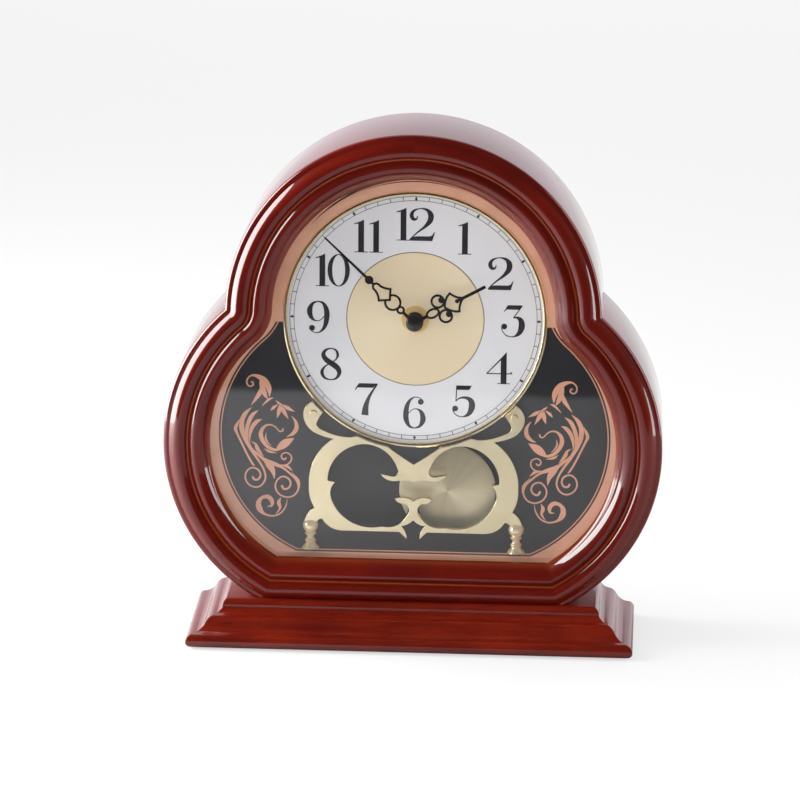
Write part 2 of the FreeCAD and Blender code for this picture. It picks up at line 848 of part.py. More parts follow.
def mesh_phase(driver_teeth, driver_phase, driven_teeth, direction):
    """Phase that sets a driven gear's gap on its neighbour's tooth."""
    share = ((direction - driver_phase) * driver_teeth / (2 * math.pi)) % 1
    return direction + math.pi - (0.5 - share) * 2 * math.pi / driven_teeth


def offset_place(place, distance, degrees):
    turn = math.radians(degrees)
    return place[0] + distance * math.cos(turn), place[1] + distance * math.sin(turn)


def module_for(distance, first, second):
    return 2 * distance / (first + second)


hand_axis = (0.0, dial_z)
motion_axis = offset_place(hand_axis, motion_centre, motion_angle)
setting_axis = offset_place(motion_axis, motion_centre, setting_angle)
third_axis = offset_place(hand_axis, train_centre, third_angle)
idler_axis = offset_place(hand_axis, idler_centre, idler_angle)
rotor_axis = offset_place(idler_axis, rotor_centre, rotor_angle)


def motion_work():
    """Cannon pinion, motion wheel, hour wheel and the setting shaft."""
    module = module_for(motion_centre, cannon_teeth, motion_teeth)
    hour_module = module_for(motion_centre, motion_pinion_teeth, hour_teeth)
    up = math.radians(motion_angle)
    y0 = wheel_depth(motion_layer)
    y1 = y0 + wheel_thickness
    h0 = wheel_depth(hour_layer)
    h1 = h0 + wheel_thickness
    cannon = gear(cannon_teeth, module, 0, *hand_axis, y0, y1)
    arbor = rod(*hand_axis, arbor_radius, rim_y + minute_hand_depth, y0)
    tail = rod(*hand_axis, tail_radius, y1, wheel_depth(centre_layer) + wheel_thickness)
    keep("cannon_pinion", arbor.fuse(cannon).fuse(tail).removeSplitter())
    phase = mesh_phase(cannon_teeth, 0, motion_teeth, up)
    bore = rod(*motion_axis, stub_radius + running_gap, movement_y, cover_y)
    wheel = gear(motion_teeth, module, phase, *motion_axis, y0, y1)
    pinion = gear(motion_pinion_teeth, hour_module, phase, *motion_axis, h0, y0)
    keep("motion_wheel", wheel.fuse(pinion).removeSplitter().cut(bore))
    hour_phase = mesh_phase(motion_pinion_teeth, phase, hour_teeth, up + math.pi)
    hour = gear(hour_teeth, hour_module, hour_phase, *hand_axis, h0, h1)
    sleeve = rod(*hand_axis, hour_tube_radius, rim_y + hour_hand_depth, h0)
    hole = rod(*hand_axis, arbor_radius + running_gap, rim_y, cover_y)
    keep("hour_wheel", sleeve.fuse(hour).removeSplitter().cut(hole))
    set_phase = mesh_phase(motion_teeth, phase, setting_teeth, math.radians(setting_angle))
    setter = gear(setting_teeth, module, set_phase, *setting_axis, y0, y1)
    shaft = rod(*setting_axis, stub_radius, movement_floor_y - shell_wall / 2,
                movement_back_y + fit_gap)
    knob0 = movement_back_y + fit_gap
    knob = rod(*setting_axis, knob_radius, knob0, knob0 + knob_height)
    for i in range(knob_ribs):
        place = offset_place(setting_axis, knob_radius, 360 * i / knob_ribs)
        knob = knob.cut(rod(*place, knob_rib_radius, knob0 - overrun, knob0 + knob_height + overrun))
    keep("setting_shaft", shaft.fuse(setter).removeSplitter())
    keep("setting_knob", knob)


def arbor_between(axis, y0, y1):
    return rod(*axis, pivot_radius, y0, y1)


def going_train():
    """Centre, third, seconds and intermediate wheels, and the rotor with its magnet."""
    centre_module = module_for(train_centre, centre_teeth, third_pinion_teeth)
    third_module = module_for(train_centre, third_teeth, seconds_pinion_teeth)
    seconds_module = module_for(idler_centre, seconds_teeth, idler_pinion_teeth)
    idler_module = module_for(rotor_centre, idler_teeth, rotor_teeth)
    left = math.radians(third_angle)
    right = math.radians(idler_angle)
    down = math.radians(rotor_angle)
    rear = cover_y + cover_thickness / 2
    c0 = wheel_depth(centre_layer)
    centre = gear(centre_teeth, centre_module, 0, *hand_axis, c0, c0 + wheel_thickness)
    friction_bore = rod(*hand_axis, tail_radius + running_gap, c0 - overrun, c0 + overrun)
    keep("centre_wheel", centre.cut(friction_bore))
    t0 = wheel_depth(third_layer)
    third_phase = mesh_phase(centre_teeth, 0, third_pinion_teeth, left)
    third = gear(third_teeth, third_module, third_phase, *third_axis, t0, t0 + wheel_thickness)
    pinion = gear(third_pinion_teeth, centre_module, third_phase, *third_axis, c0, t0)
    arbor = arbor_between(third_axis, movement_floor_y - shell_wall / 2, rear)
    keep("third_wheel", third.fuse(pinion).fuse(arbor).removeSplitter())
    s0 = wheel_depth(seconds_layer)
    seconds_phase = mesh_phase(third_teeth, third_phase, seconds_pinion_teeth, left + math.pi)
    seconds = gear(seconds_teeth, seconds_module, seconds_phase, *hand_axis, s0, s0 + wheel_thickness)
    pinion = gear(seconds_pinion_teeth, third_module, seconds_phase, *hand_axis, t0, s0)
    arbor = arbor_between(hand_axis, t0, rear)
    keep("seconds_wheel", seconds.fuse(pinion).fuse(arbor).removeSplitter())
    i0 = wheel_depth(idler_layer)
    idler_phase = mesh_phase(seconds_teeth, seconds_phase, idler_pinion_teeth, right)
    idler = gear(idler_teeth, idler_module, idler_phase, *idler_axis, i0, i0 + wheel_thickness)
    pinion = gear(idler_pinion_teeth, seconds_module, idler_phase, *idler_axis, s0, i0)
    arbor = arbor_between(idler_axis, bridge_y(), rear)
    keep("intermediate_wheel", idler.fuse(pinion).fuse(arbor).removeSplitter())
    rotor_phase = mesh_phase(idler_teeth, idler_phase, rotor_teeth, down)
    leaf = gear(rotor_teeth, idler_module, rotor_phase, *rotor_axis, i0, i0 + wheel_thickness)
    arbor = arbor_between(rotor_axis, bridge_y(), rear)
    magnet = rod(*rotor_axis, magnet_radius, i0 - magnet_length, i0)
    keep("rotor", leaf.fuse(arbor).fuse(magnet).removeSplitter())


def bridge_y():
    return wheel_depth(third_layer)


def stator_y():
    return wheel_depth(idler_layer) - magnet_length + stator_gap / 2


def train_bridge():
    """Small plate that carries the front pivots of the intermediate wheel and rotor."""
    y0 = bridge_y()
    y1 = y0 + bridge_thickness
    x0 = hand_axis[0] + bridge_start
    pillars = motor_pillars()
    reach = motor_pillar_radius + fit_gap
    plate = box(x0, pillars[0][0] + reach, y0, y1, pillars[0][1] - reach, pillars[1][1] + reach)
    for axis in (idler_axis, rotor_axis):
        plate = plate.cut(rod(*axis, pivot_radius + running_gap, y0 - overrun, y1 + overrun))
    for x, z in pillars:
        plate = plate.cut(rod(x, z, motor_pin_radius, y0 - overrun, y1 + overrun))
    keep("train_bridge", plate)


def movement_box(inset, y0, y1):
    return box(-movement_left + inset, movement_right - inset, y0, y1,
               dial_z - movement_bottom + inset, dial_z + movement_top - inset)


def pillar_places():
    low = dial_z - movement_bottom + pillar_inset
    high = dial_z + movement_top - pillar_inset
    left = -movement_left + pillar_inset
    right = battery_x - battery_radius - pillar_inset
    return [(left, low), (left, high), (right, high)]


def movement_case():
    """Front shell of the movement, with its boss, pillars, stub and pendulum slot."""
    shell = movement_box(0, movement_y, cover_y).cut(
        movement_box(shell_wall, movement_floor_y, cover_y + overrun))
    boss = rod(*hand_axis, boss_radius, plate_back_y - boss_reach, movement_y)
    shell = shell.fuse(boss)
    for x, z in pillar_places():
        shell = shell.fuse(rod(x, z, screw_pillar_radius, movement_floor_y, cover_y))
    for x, z in motor_pillars():
        shell = shell.fuse(rod(x, z, motor_pillar_radius, movement_floor_y, bridge_y()))
        shell = shell.fuse(rod(x, z, motor_pin_radius, bridge_y(), stator_y()))
    stub = rod(*motion_axis, stub_radius, movement_floor_y, wheel_depth(centre_layer) - fit_gap)
    shell = shell.fuse(stub)
    for axis in (third_axis, setting_axis):
        radius = (pivot_radius if axis is third_axis else stub_radius) + running_gap
        shell = shell.cut(rod(*axis, radius, movement_floor_y - shell_wall / 2, cover_y))
    shell = shell.cut(rod(*hand_axis, hour_tube_radius + running_gap, rim_y, cover_y))
    x, z = pendulum_pivot()
    low = dial_z - movement_bottom
    slot = box(x - slot_half_width, x + slot_half_width, movement_floor_y,
               movement_floor_y + hanger_thickness + 2 * shell_wall, low - overrun, low + overrun)
    shell = shell.cut(slot)
    keep("movement_case", shell.cut(rod(x, z, pivot_radius, movement_floor_y - shell_wall / 2, cover_y)))


def movement_cover():
    cover = movement_box(0, cover_y, movement_back_y)
    for axis in (third_axis, hand_axis, idler_axis, rotor_axis):
        cover = cover.cut(rod(*axis, pivot_radius + running_gap, cover_y - overrun,
                              cover_y + cover_thickness / 2))
    cover = cover.cut(rod(*setting_axis, stub_radius + running_gap, cover_y - overrun,
                          movement_back_y + overrun))
    x, z = pendulum_pivot()
    cover = cover.cut(rod(x, z, pivot_radius, cover_y - overrun, cover_y + cover_thickness / 2))
    for x, z in pillar_places():
        cover = cover.cut(rod(x, z, screw_shank_radius, cover_y - overrun, movement_back_y + overrun))
        head = rod(x, z, small_head_radius, movement_back_y, movement_back_y + screw_head_height)
        shank = rod(x, z, screw_shank_radius, cover_y, movement_back_y)
        keep("cover_screws", head.fuse(shank).removeSplitter())
    door = box(battery_x - battery_radius, battery_x + battery_radius, cover_y - overrun,
               movement_back_y + overrun, dial_z + battery_z - battery_length / 2,
               dial_z + battery_z + battery_length / 2)
    keep("movement_cover", cover.cut(door))


def pendulum_pivot():
    return hand_axis[0], dial_z - pivot_drop


def motor_parts():
    """Stator plate round the rotor's magnet, closed through the core of its coil."""
    y0 = stator_y()
    y1 = y0 + wheel_thickness
    x, z = rotor_axis
    low, high = coil_ends()
    leg = core_width
    half = stator_width / 2
    plate = box(x - half, coil_x - coil_radius - fit_gap, y0, y1, z - half, z + half)
    bar_x = coil_x - coil_radius - fit_gap
    loop = box(bar_x - 2 * leg, coil_x + leg / 2, y0, y1, low - leg, high + leg)
    window = box(bar_x, coil_x - leg / 2, y0 - overrun, y1 + overrun, low, high)
    stator = plate.fuse(loop.cut(window)).removeSplitter()
    keep("stator", stator.cut(rod(x, z, magnet_radius + stator_gap, y0 - overrun, y1 + overrun)))
    core = box(coil_x - leg / 2, coil_x + leg / 2, y0, y1, low, high)
    keep("motor_coil", upright(coil_x, (y0 + y1) / 2, coil_radius, low, high).cut(core))


def coil_ends():
    middle = dial_z + coil_z
    return middle - coil_length / 2, middle + coil_length / 2


def motor_pillars():
    """Stepped pillars that the train bridge and the stator rest on."""
    low, high = coil_ends()
    x = coil_x - coil_radius - fit_gap - core_width
    return [(x, low - core_width / 2), (x, high + core_width / 2)]


def stand_off_parts():
    """Circuit board on its stand-off, the battery and its two spring contacts."""
    y1 = cover_y
    y0 = y1 - wheel_thickness
    z = dial_z
    plate = box(board_plate_x - board_plate_width / 2, board_plate_x + board_plate_width / 2, y0, y1,
                z - board_plate_height / 2, z + board_plate_height / 2)
    keep("circuit_board", plate)
    length = battery_length / 2
    centre = dial_z + battery_z
    depth = (movement_y + shell_wall + cover_y + cover_thickness) / 2
    can = upright(battery_x, depth, battery_radius, centre - length, centre + length - battery_nub)
    nub = upright(battery_x, depth, battery_nub_radius, centre + length - battery_nub, centre + length)
    keep("battery", can.fuse(nub).removeSplitter())
    for base in (centre - length - contact_thickness, centre + length):
        keep("battery_contacts", box(battery_x - contact_width / 2, battery_x + contact_width / 2,
                                     movement_floor_y, cover_y, base, base + contact_thickness))


def swung(shape):
    """Pendulum piece, drawn hanging straight and turned to where it is at rest."""
    return spin(shape, *pendulum_pivot(), swing_angle)


def pendulum():
    x, z = pendulum_pivot()
    y0 = movement_floor_y + fit_gap
    y1 = y0 + hanger_thickness
    hub = rod(x, z, hanger_radius, y0, y1)
    arm = box(x - rod_width, x + rod_width, y0, y1, z - hanger_length, z)
    hanger = hub.fuse(arm).removeSplitter()
    hanger = hanger.cut(rod(x, z, pivot_radius + running_gap, y0 - overrun, y1 + overrun))
    keep("pendulum_hanger", swung(hanger))
    magnet = rod(x, z - pendulum_magnet_drop, pendulum_magnet_radius, y1, y1 + wheel_thickness)
    keep("pendulum_magnet", swung(magnet))
    keep("pendulum_pin", rod(x, z, pivot_radius, movement_floor_y - shell_wall / 2,
                             cover_y + cover_thickness / 2))
    strip0 = y1
    strip1 = y1 + rod_thickness
    bob_z = z - bob_drop
    strip = box(x - rod_width / 2, x + rod_width / 2, strip0, strip1, bob_z - bob_radius / 3,
                z - pendulum_magnet_drop - pendulum_magnet_radius - fit_gap)
    keep("pendulum_rod", swung(strip))
    heights = ((bob_radius, 0), (bob_radius, bob_edge_height), (bob_face_radius, bob_thickness),
               (bob_step_radius, bob_step_height), (0, bob_crown_height))
    profile = [(0, strip0)] + [(r, strip0 - h) for r, h in heights]
    keep("pendulum_bob", swung(turned(profile, x, bob_z)))
    tip = strip1 + bob_boss_height
    boss = turned([(0, strip1), (bob_boss_radius, strip1), (bob_boss_tip_radius, tip), (0, tip)],
                  x, bob_z)
    keep("bob_nut", swung(boss))
    keep("drive_coil", tube(x, z - pendulum_magnet_drop, drive_coil_radius, drive_coil_bore,
                            cover_y - drive_coil_length, cover_y))


def pendulum_tray():
    """Dark tray that closes the case behind the window, open at its top for the rod."""
    y0 = board_back_y
    y1 = board_back_y + tray_depth
    half = tray_half_width
    shell = box(-half, half, y0, y1, tray_low_z, tray_high_z)
    hollow = box(-half + tray_wall, half - tray_wall, y0 - overrun, y1 - tray_wall,
                 tray_low_z + tray_wall, tray_high_z + overrun)
    flange = box(-half - tray_flange, half + tray_flange, y0, y0 + tray_wall,
                 tray_low_z - tray_flange, tray_high_z)
    window = box(-half, half, y0 - overrun, y0 + overrun, tray_low_z, tray_high_z + overrun)
    keep("pendulum_tray", shell.cut(hollow).fuse(flange.cut(window)).removeSplitter())


def door_box(grow, y0, y1):
    return box(-door_half_width - grow, door_half_width + grow, y0, y1, door_low_z - grow,
               door_high_z + grow)


def hinge_places():
    return [door_low_z + hinge_inset, door_high_z - hinge_inset]


def button_place():
    return -door_half_width - button_offset, (door_low_z + door_high_z) / 2


def panel_screw_places():
    """Screws round the back panel: three on each side and one at the top."""
    inset = sleeve_wall - (sleeve_wall - panel_ledge) / 2
    radius = lobe_radius - inset
    places = [(0, top_lobe_z + radius)]
    for centre, height, degrees in ((0, top_lobe_z, top_screw_angle),
                                    (lobe_spread, side_lobe_z, side_screw_angle),
                                    (lobe_spread, side_lobe_z, low_screw_angle)):
        turn = math.radians(degrees)
        x = centre + radius * math.cos(turn)
        places += [(-x, height + radius * math.sin(turn)), (x, height + radius * math.sin(turn))]
    return places


def back_panel():
    panel = prism(trefoil(panel_ledge + fit_gap, panel_y), panel_back_y)
    panel = panel.cut(below_seat(overrun))
    panel = panel.cut(door_box(door_gap, panel_y - overrun, panel_back_y + overrun))
    x, z = button_place()
    panel = panel.cut(rod(x, z, screw_shank_radius, panel_y - overrun, panel_back_y + overrun))
    for x, z in panel_screw_places():
        panel = panel.cut(rod(x, z, screw_shank_radius, panel_y - overrun, panel_back_y + overrun))
        head = rod(x, z, panel_head_radius, panel_back_y, panel_back_y + screw_head_height)
        shank = rod(x, z, screw_shank_radius, panel_y - screw_length, panel_back_y)
        keep("panel_screws", head.fuse(shank).removeSplitter())
    keep("back_panel", panel)


def back_door():
    keep("back_door", door_box(0, panel_y, panel_back_y))


def hinges():
    """Butt hinges on the right edge of the door, seen from the front."""
    axis_x = door_half_width + door_gap / 2
    axis_y = panel_back_y + hinge_barrel_radius + hinge_lift
    for z in hinge_places():
        low = z - hinge_leaf_height / 2
        high = z + hinge_leaf_height / 2
        step = (high - low) / hinge_knuckles
        bore = upright(axis_x, axis_y, hinge_pin_radius + running_gap, low - overrun, high + overrun)
        fixed = box(axis_x, axis_x + hinge_leaf_width, panel_back_y,
                    panel_back_y + hinge_leaf_thickness, low, high)
        moving = box(axis_x - hinge_leaf_width, axis_x, panel_back_y,
                     panel_back_y + hinge_leaf_thickness, low, high)
        relief = upright(axis_x, axis_y, hinge_barrel_radius + hinge_side_gap, low, high)
        relief = relief.fuse(box(axis_x - hinge_barrel_radius, axis_x + hinge_barrel_radius,
                                 panel_back_y, axis_y, low, high))
        fixed = fixed.cut(relief)
        moving = moving.cut(relief)
        for i in range(hinge_knuckles):
            z0 = low + i * step + hinge_side_gap / 2
            z1 = low + (i + 1) * step - hinge_side_gap / 2
            knuckle = upright(axis_x, axis_y, hinge_barrel_radius, z0, z1)
            outward = 1 if i % 2 == 0 else -1
            web = box(min(axis_x, axis_x + outward * 2 * hinge_barrel_radius),
                      max(axis_x, axis_x + outward * 2 * hinge_barrel_radius),
                      panel_back_y, panel_back_y + hinge_leaf_thickness, z0, z1)
            if outward > 0:
                fixed = fixed.fuse(knuckle.fuse(web))
            else:
                moving = moving.fuse(knuckle.fuse(web))
        keep("hinge_fixed_leaves", fixed.cut(bore).removeSplitter())
        keep("hinge_door_leaves", moving.cut(bore).removeSplitter())
        keep("hinge_pins", upright(axis_x, axis_y, hinge_pin_radius, low, high))


def turn_button():
    x, z = button_place()
    y0 = panel_back_y
    plate = box(x - button_width / 2, x + button_width / 2, y0, y0 + button_thickness,
                z - button_length / 2, z + button_length / 2)
    bore = rod(x, z, screw_shank_radius + running_gap, y0 - overrun, y0 + overrun)
    keep("turn_button", plate.cut(bore))
    shank = rod(x, z, screw_shank_radius, panel_y, y0 + button_thickness)
    head = rod(x, z, screw_head_radius, y0 + button_thickness,
               y0 + button_thickness + screw_head_height)
    keep("button_screw", shank.fuse(head).removeSplitter())


def main():
    os.makedirs("parts", exist_ok=True)
    for build in (front_frame, case_rim, plinth, plinth_screws, glazing, dial_board, dial, dial_clips,
                  ornament, ornament_feet, minute_hand, hour_hand, hub_fittings, motion_work, going_train,
                  train_bridge, movement_case, movement_cover, motor_parts, stand_off_parts, pendulum,
                  pendulum_tray, back_panel, back_door, hinges, turn_button):
        build()
    for name, shapes in solids.items():
        whole = shapes[0] if len(shapes) == 1 else Part.makeCompound(shapes)
        whole.exportStep(os.path.join("parts", name + ".step"))
        print(name, len(whole.Solids), round(whole.Volume, 1), whole.isValid())


main()
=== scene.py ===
"""Mantel clock in a trefoil case: meshes, finishes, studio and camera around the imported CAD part.

Sizes in the classes are millimetres; meshes are written in metres. X runs to the right as the
dial is read, Y from the dial to the back, Z up.
"""

import logging
import math
from dataclasses import dataclass, replace
from enum import Enum
from typing import Any, Callable, Iterable, Sequence

import bmesh
import bpy
import numpy as np
from mathutils import Matrix, Vector


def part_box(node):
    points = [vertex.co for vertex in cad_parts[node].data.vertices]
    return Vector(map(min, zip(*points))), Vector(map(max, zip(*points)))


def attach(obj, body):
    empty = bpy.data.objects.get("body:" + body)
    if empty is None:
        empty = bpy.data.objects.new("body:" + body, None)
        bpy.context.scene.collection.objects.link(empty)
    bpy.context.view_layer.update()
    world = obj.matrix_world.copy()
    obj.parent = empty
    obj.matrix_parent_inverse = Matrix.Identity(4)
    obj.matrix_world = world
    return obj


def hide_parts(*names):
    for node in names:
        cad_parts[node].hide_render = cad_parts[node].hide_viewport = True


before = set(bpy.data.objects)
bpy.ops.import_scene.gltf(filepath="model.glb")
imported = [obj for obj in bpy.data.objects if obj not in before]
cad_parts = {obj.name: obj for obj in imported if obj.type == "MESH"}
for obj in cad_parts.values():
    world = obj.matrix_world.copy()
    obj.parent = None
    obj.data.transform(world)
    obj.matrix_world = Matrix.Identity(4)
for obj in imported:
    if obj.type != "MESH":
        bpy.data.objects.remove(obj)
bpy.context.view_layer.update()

LOG = logging.getLogger("mantel_clock")
MM = 0.001
WELD = 1e-7
SLIVER = 1e-8
FLAT_WITHIN = math.radians(0.5)
Colour = tuple[float, float, float]
Point = tuple[float, float, float]
Pair = tuple[float, float]
Line = tuple[tuple[float, ...], ...]
Plane = tuple[Point, Point]
Array = np.ndarray


class Body(str, Enum):
    """CAD bodies that the pieces ride on."""

    CASE = "case"
    MINUTE = "minute"
    HOUR = "hour"
    PENDULUM = "pendulum"
    DOOR = "door"
    BUTTON = "button"


class Grain(Enum):
    """What the figure of the wood follows."""

    MOULDING = "moulding"
    WIDTH = "width"


# Shader maths


def math_method(kind: str, swapped: bool = False) -> Callable[["Wire", Any], "Wire"]:
    """Method of Wire that stands for one operation on two values.

    Args:
        kind: Operation of the Math node that it adds.
        swapped: Whether it is the reflected form, whose other value comes first.

    Returns:
        The method.
    """
    def apply(wire: "Wire", other: Any) -> "Wire":
        """Result of the operation."""
        return wire.maths(kind, other, wire) if swapped else wire.maths(kind, wire, other)

    return apply


class Wire:
    """A number or vector socket that can stand in an arithmetic expression."""

    __add__, __radd__ = math_method("ADD"), math_method("ADD", True)
    __sub__, __rsub__ = math_method("SUBTRACT"), math_method("SUBTRACT", True)
    __mul__, __rmul__ = math_method("MULTIPLY"), math_method("MULTIPLY", True)
    __truediv__, __rtruediv__ = math_method("DIVIDE"), math_method("DIVIDE", True)
    __pow__, __rpow__ = math_method("POWER"), math_method("POWER", True)
    larger = math_method("MAXIMUM")
    angle_over = math_method("ARCTAN2")

    def __init__(self, graph: "Graph", socket: bpy.types.NodeSocket) -> None:
        """Keep the node graph and the socket."""
        self.graph = graph
        self.socket = socket

    def maths(self, kind: str, *values: Any) -> "Wire":
        """Result of a new Math node with these inputs, in order."""
        node = self.graph.node("ShaderNodeMath", {"operation": kind}, dict(enumerate(values)))
        return Wire(self.graph, node.outputs[0])

    def sine(self) -> "Wire":
        """Sine of an angle in radians."""
        return self.maths("SINE", self)

    def step(self, low: float, high: float) -> "Wire":
        """Smooth rise from 0 at low to 1 at high.

        Args:
            low: Value where the rise starts.
            high: Value where it ends.

        Returns:
            The smoothed mask.
        """
        node = self.graph.node(
            "ShaderNodeMapRange",
            {"interpolation_type": "SMOOTHSTEP"},
            {0: self, 1: low, 2: high, 3: 0.0, 4: 1.0},
        )
        return Wire(self.graph, node.outputs[0])


class Graph:
    """Node tree of one material or world."""

    def __init__(self, tree: bpy.types.NodeTree) -> None:
        """Start from an empty tree."""
        self.tree = tree
        tree.nodes.clear()

    def node(self, kind: str, settings: dict[str, Any] | None = None,
             sockets: dict[Any, Any] | None = None) -> bpy.types.Node:
        """Add one node.

        Args:
            kind: The node's type.
            settings: Attributes, set first; "stops" are (place, colour) pairs of a ramp.
            sockets: Values, wires or sockets by input name or number.

        Returns:
            The new node.
        """
        made = self.tree.nodes.new(kind)
        for key, value in (settings or {}).items():
            if key == "stops":
                ramp = made.color_ramp
                while len(ramp.elements) < len(value):
                    ramp.elements.new(1.0)
                for element, (place, colour) in zip(ramp.elements, value):
                    element.position = place
                    element.color = (*colour, 1.0)
            else:
                setattr(made, key, value)
        for key, value in (sockets or {}).items():
            self.join(made.inputs[key], value)
        return made

    def join(self, target: bpy.types.NodeSocket, value: Any) -> None:
        """Link a wire or socket to an input, or set a plain value on it.

        Args:
            target: The input socket.
            value: A Wire, an output socket, a number or a tuple.
        """
        if isinstance(value, Wire):
            self.tree.links.new(value.socket, target)
        elif isinstance(value, bpy.types.NodeSocket):
            self.tree.links.new(value, target)
        elif target.type == "RGBA" and len(value) == 3:
            target.default_value = (*value, 1.0)
        else:
            target.default_value = value

    def axes(self, output: str = "Object") -> tuple[Wire, Wire, Wire]:
        """The three numbers of a texture coordinate.

        Args:
            output: Object or UV.

        Returns:
            Wires for x, y and z.
        """
        place = self.node("ShaderNodeTexCoord").outputs[output]
        parts = self.node("ShaderNodeSeparateXYZ", None, {0: place})
        return tuple(Wire(self, parts.outputs[i]) for i in range(3))

    def vector(self, x: Any, y: Any, z: Any) -> Wire:
        """Join three numbers into a vector."""
        return Wire(self, self.node("ShaderNodeCombineXYZ", None, {0: x, 1: y, 2: z}).outputs[0])

    def ray(self, kind: str) -> Wire:
        """1 for rays of one kind, such as Is Camera Ray, and 0 for all others."""
        return Wire(self, self.node("ShaderNodeLightPath").outputs[kind])

    def noise(self, vector: Any, scale: float, detail: float = 2.0, rough: float = 0.5) -> Wire:
        """Soft noise from 0 to 1.

        Args:
            vector: Where it is read.
            scale: Features per metre, or per unit of the vector.
            detail: Octaves.
            rough: Strength of the finer octaves.

        Returns:
            The noise value.
        """
        made = self.node("ShaderNodeTexNoise", None,
                         {"Vector": vector, "Scale": scale, "Detail": detail, "Roughness": rough})
        return Wire(self, made.outputs[0])

    def blend(self, share: Any, first: Any, second: Any) -> bpy.types.NodeSocket:
        """Colour between two others.

        Args:
            share: 0 gives the first colour and 1 the second.
            first: A colour or a socket.
            second: A colour or a socket.

        Returns:
            The mixed colour.
        """
        made = self.node("ShaderNodeMix", {"data_type": "RGBA"}, {0: share, 6: first, 7: second})
        return made.outputs[2]

    def bump(self, height: Wire, distance: float, strength: float = 1.0) -> bpy.types.NodeSocket:
        """Normal from a height.

        Args:
            height: Height from 0 to 1.
            distance: Metres that a height of 1 stands for.
            strength: Share of the effect.

        Returns:
            The normal.
        """
        made = self.node("ShaderNodeBump", None,
                         {"Height": height, "Distance": distance, "Strength": strength})
        return made.outputs[0]


def material_of(name: str, shade: Callable[[Graph], bpy.types.NodeSocket]) -> bpy.types.Material:
    """Material with one shader on its surface.

    Args:
        name: The material's name.
        shade: Adds the shader to a graph and gives its output.

    Returns:
        The material.
    """
    material = bpy.data.materials.new(name)
    material.use_nodes = True
    graph = Graph(material.node_tree)
    graph.node("ShaderNodeOutputMaterial", None, {"Surface": shade(graph)})
    return material


# Finishes


class Finish:
    """A finish as one Principled shader, whose inputs each kind of finish gives."""

    name: str

    def inputs(self, graph: Graph) -> dict[str, Any]:
        """The shader's inputs, none in the plain finish."""
        return {}

    def shade(self, graph: Graph) -> bpy.types.NodeSocket:
        """The shader's output."""
        return graph.node("ShaderNodeBsdfPrincipled", None, self.inputs(graph)).outputs[0]


@dataclass(frozen=True)
class Lacquer(Finish):
    """Red-brown stain on wood under a thick, very glossy clear coat, with a warm highlight painted in
    where a piece marks it.
    """

    name: str = "lacquered_wood"
    grain: Grain = Grain.MOULDING
    stain: Colour = (0.105, 0.0048, 0.0015)
    deep: Colour = (0.060, 0.003, 0.0013)
    # Painted highlight: warm orange of a glint on the lacquer, and its greatest share
    glow: Colour = (0.36, 0.075, 0.018)
    painted_glint_share: float = 0.55
    fleck: Colour = (0.03, 0.004, 0.003)
    fleck_share: float = 0.25
    ground_gloss: float = 0.30

    def inputs(self, graph: Graph) -> dict[str, Any]:
        """Figure runs along the moulding or along the width; the coat is smooth.

        Args:
            graph: The material's nodes.

        Returns:
            The shader's inputs.
        """
        x, y, z = graph.axes("Object")
        if self.grain is Grain.MOULDING:
            u, v, _ = graph.axes("UV")
            along, across = u * 14.0, v * 230.0
        else:
            along, across = x * 22.0, (z + y * 0.6) * 210.0
        figure = graph.noise(graph.vector(along, across, y * 30.0), 1.0, 4.0, 0.62)
        cloud = graph.noise(graph.vector(x, y, z), 26.0, 2.0)
        pores = graph.noise(graph.vector(along * 5.0, across * 2.2, z * 9.0), 1.0, 2.0)
        edge = Wire(graph, graph.node("ShaderNodeAttribute", {"attribute_name": "glow"}).outputs["Fac"])
        base = graph.blend((figure * 0.6 + cloud * 0.5).step(0.30, 0.78), self.deep, self.stain)
        # Painted highlight: the glint colour mixed in where the piece's attribute marks the groove and
        # sight edge
        base = graph.blend(edge * self.painted_glint_share, base, self.glow)
        base = graph.blend(pores.step(0.62, 0.80) * self.fleck_share, base, self.fleck)
        peel = graph.noise(graph.vector(x, y, z), 320.0, 1.0)
        return {
            "Base Color": base,
            "Roughness": figure * 0.1 + (self.ground_gloss - 0.05),
            "Specular IOR Level": 0.05,
            "Coat Weight": 1.0,
            "Coat Roughness": 0.035,
            "Coat IOR": 1.52,
            "Normal": graph.bump(peel, 0.00002, 0.35),
        }


@dataclass(frozen=True)
class Fibreboard(Finish):
    """Plain pressed board, matt, with short fibres."""

    name: str = "plain_board"
    pale: Colour = (0.36, 0.225, 0.12)
    dark: Colour = (0.20, 0.115, 0.06)

    def inputs(self, graph: Graph) -> dict[str, Any]:
        """Speckle of fibres and slow clouds.

        Args:
            graph: The material's nodes.

        Returns:
            The shader's inputs.
        """
        x, y, z = graph.axes()
        fibres = graph.noise(graph.vector(x * 0.45, y, z), 1500.0, 3.0, 0.7)
        cloud = graph.noise(graph.vector(x, y, z), 30.0)
        return {
            "Base Color": graph.blend((fibres * 0.7 + cloud * 0.3).step(0.3, 0.7), self.dark, self.pale),
            "Roughness": fibres * 0.2 + 0.55,
            "Normal": graph.bump(fibres, 0.00012, 0.6),
        }


@dataclass(frozen=True)
class Felt(Finish):
    """Green felt with a short nap."""

    name: str = "green_felt"
    green: Colour = (0.035, 0.10, 0.055)
    light: Colour = (0.09, 0.19, 0.11)

    def inputs(self, graph: Graph) -> dict[str, Any]:
        """Fine matted fibres.

        Args:
            graph: The material's nodes.

        Returns:
            The shader's inputs.
        """
        nap = graph.noise(graph.vector(*graph.axes()), 2600.0, 3.0, 0.8)
        return {
            "Base Color": graph.blend(nap.step(0.35, 0.7), self.green, self.light),
            "Roughness": 0.95,
            "Sheen Weight": 0.5,
            "Normal": graph.bump(nap, 0.0002, 0.8),
        }


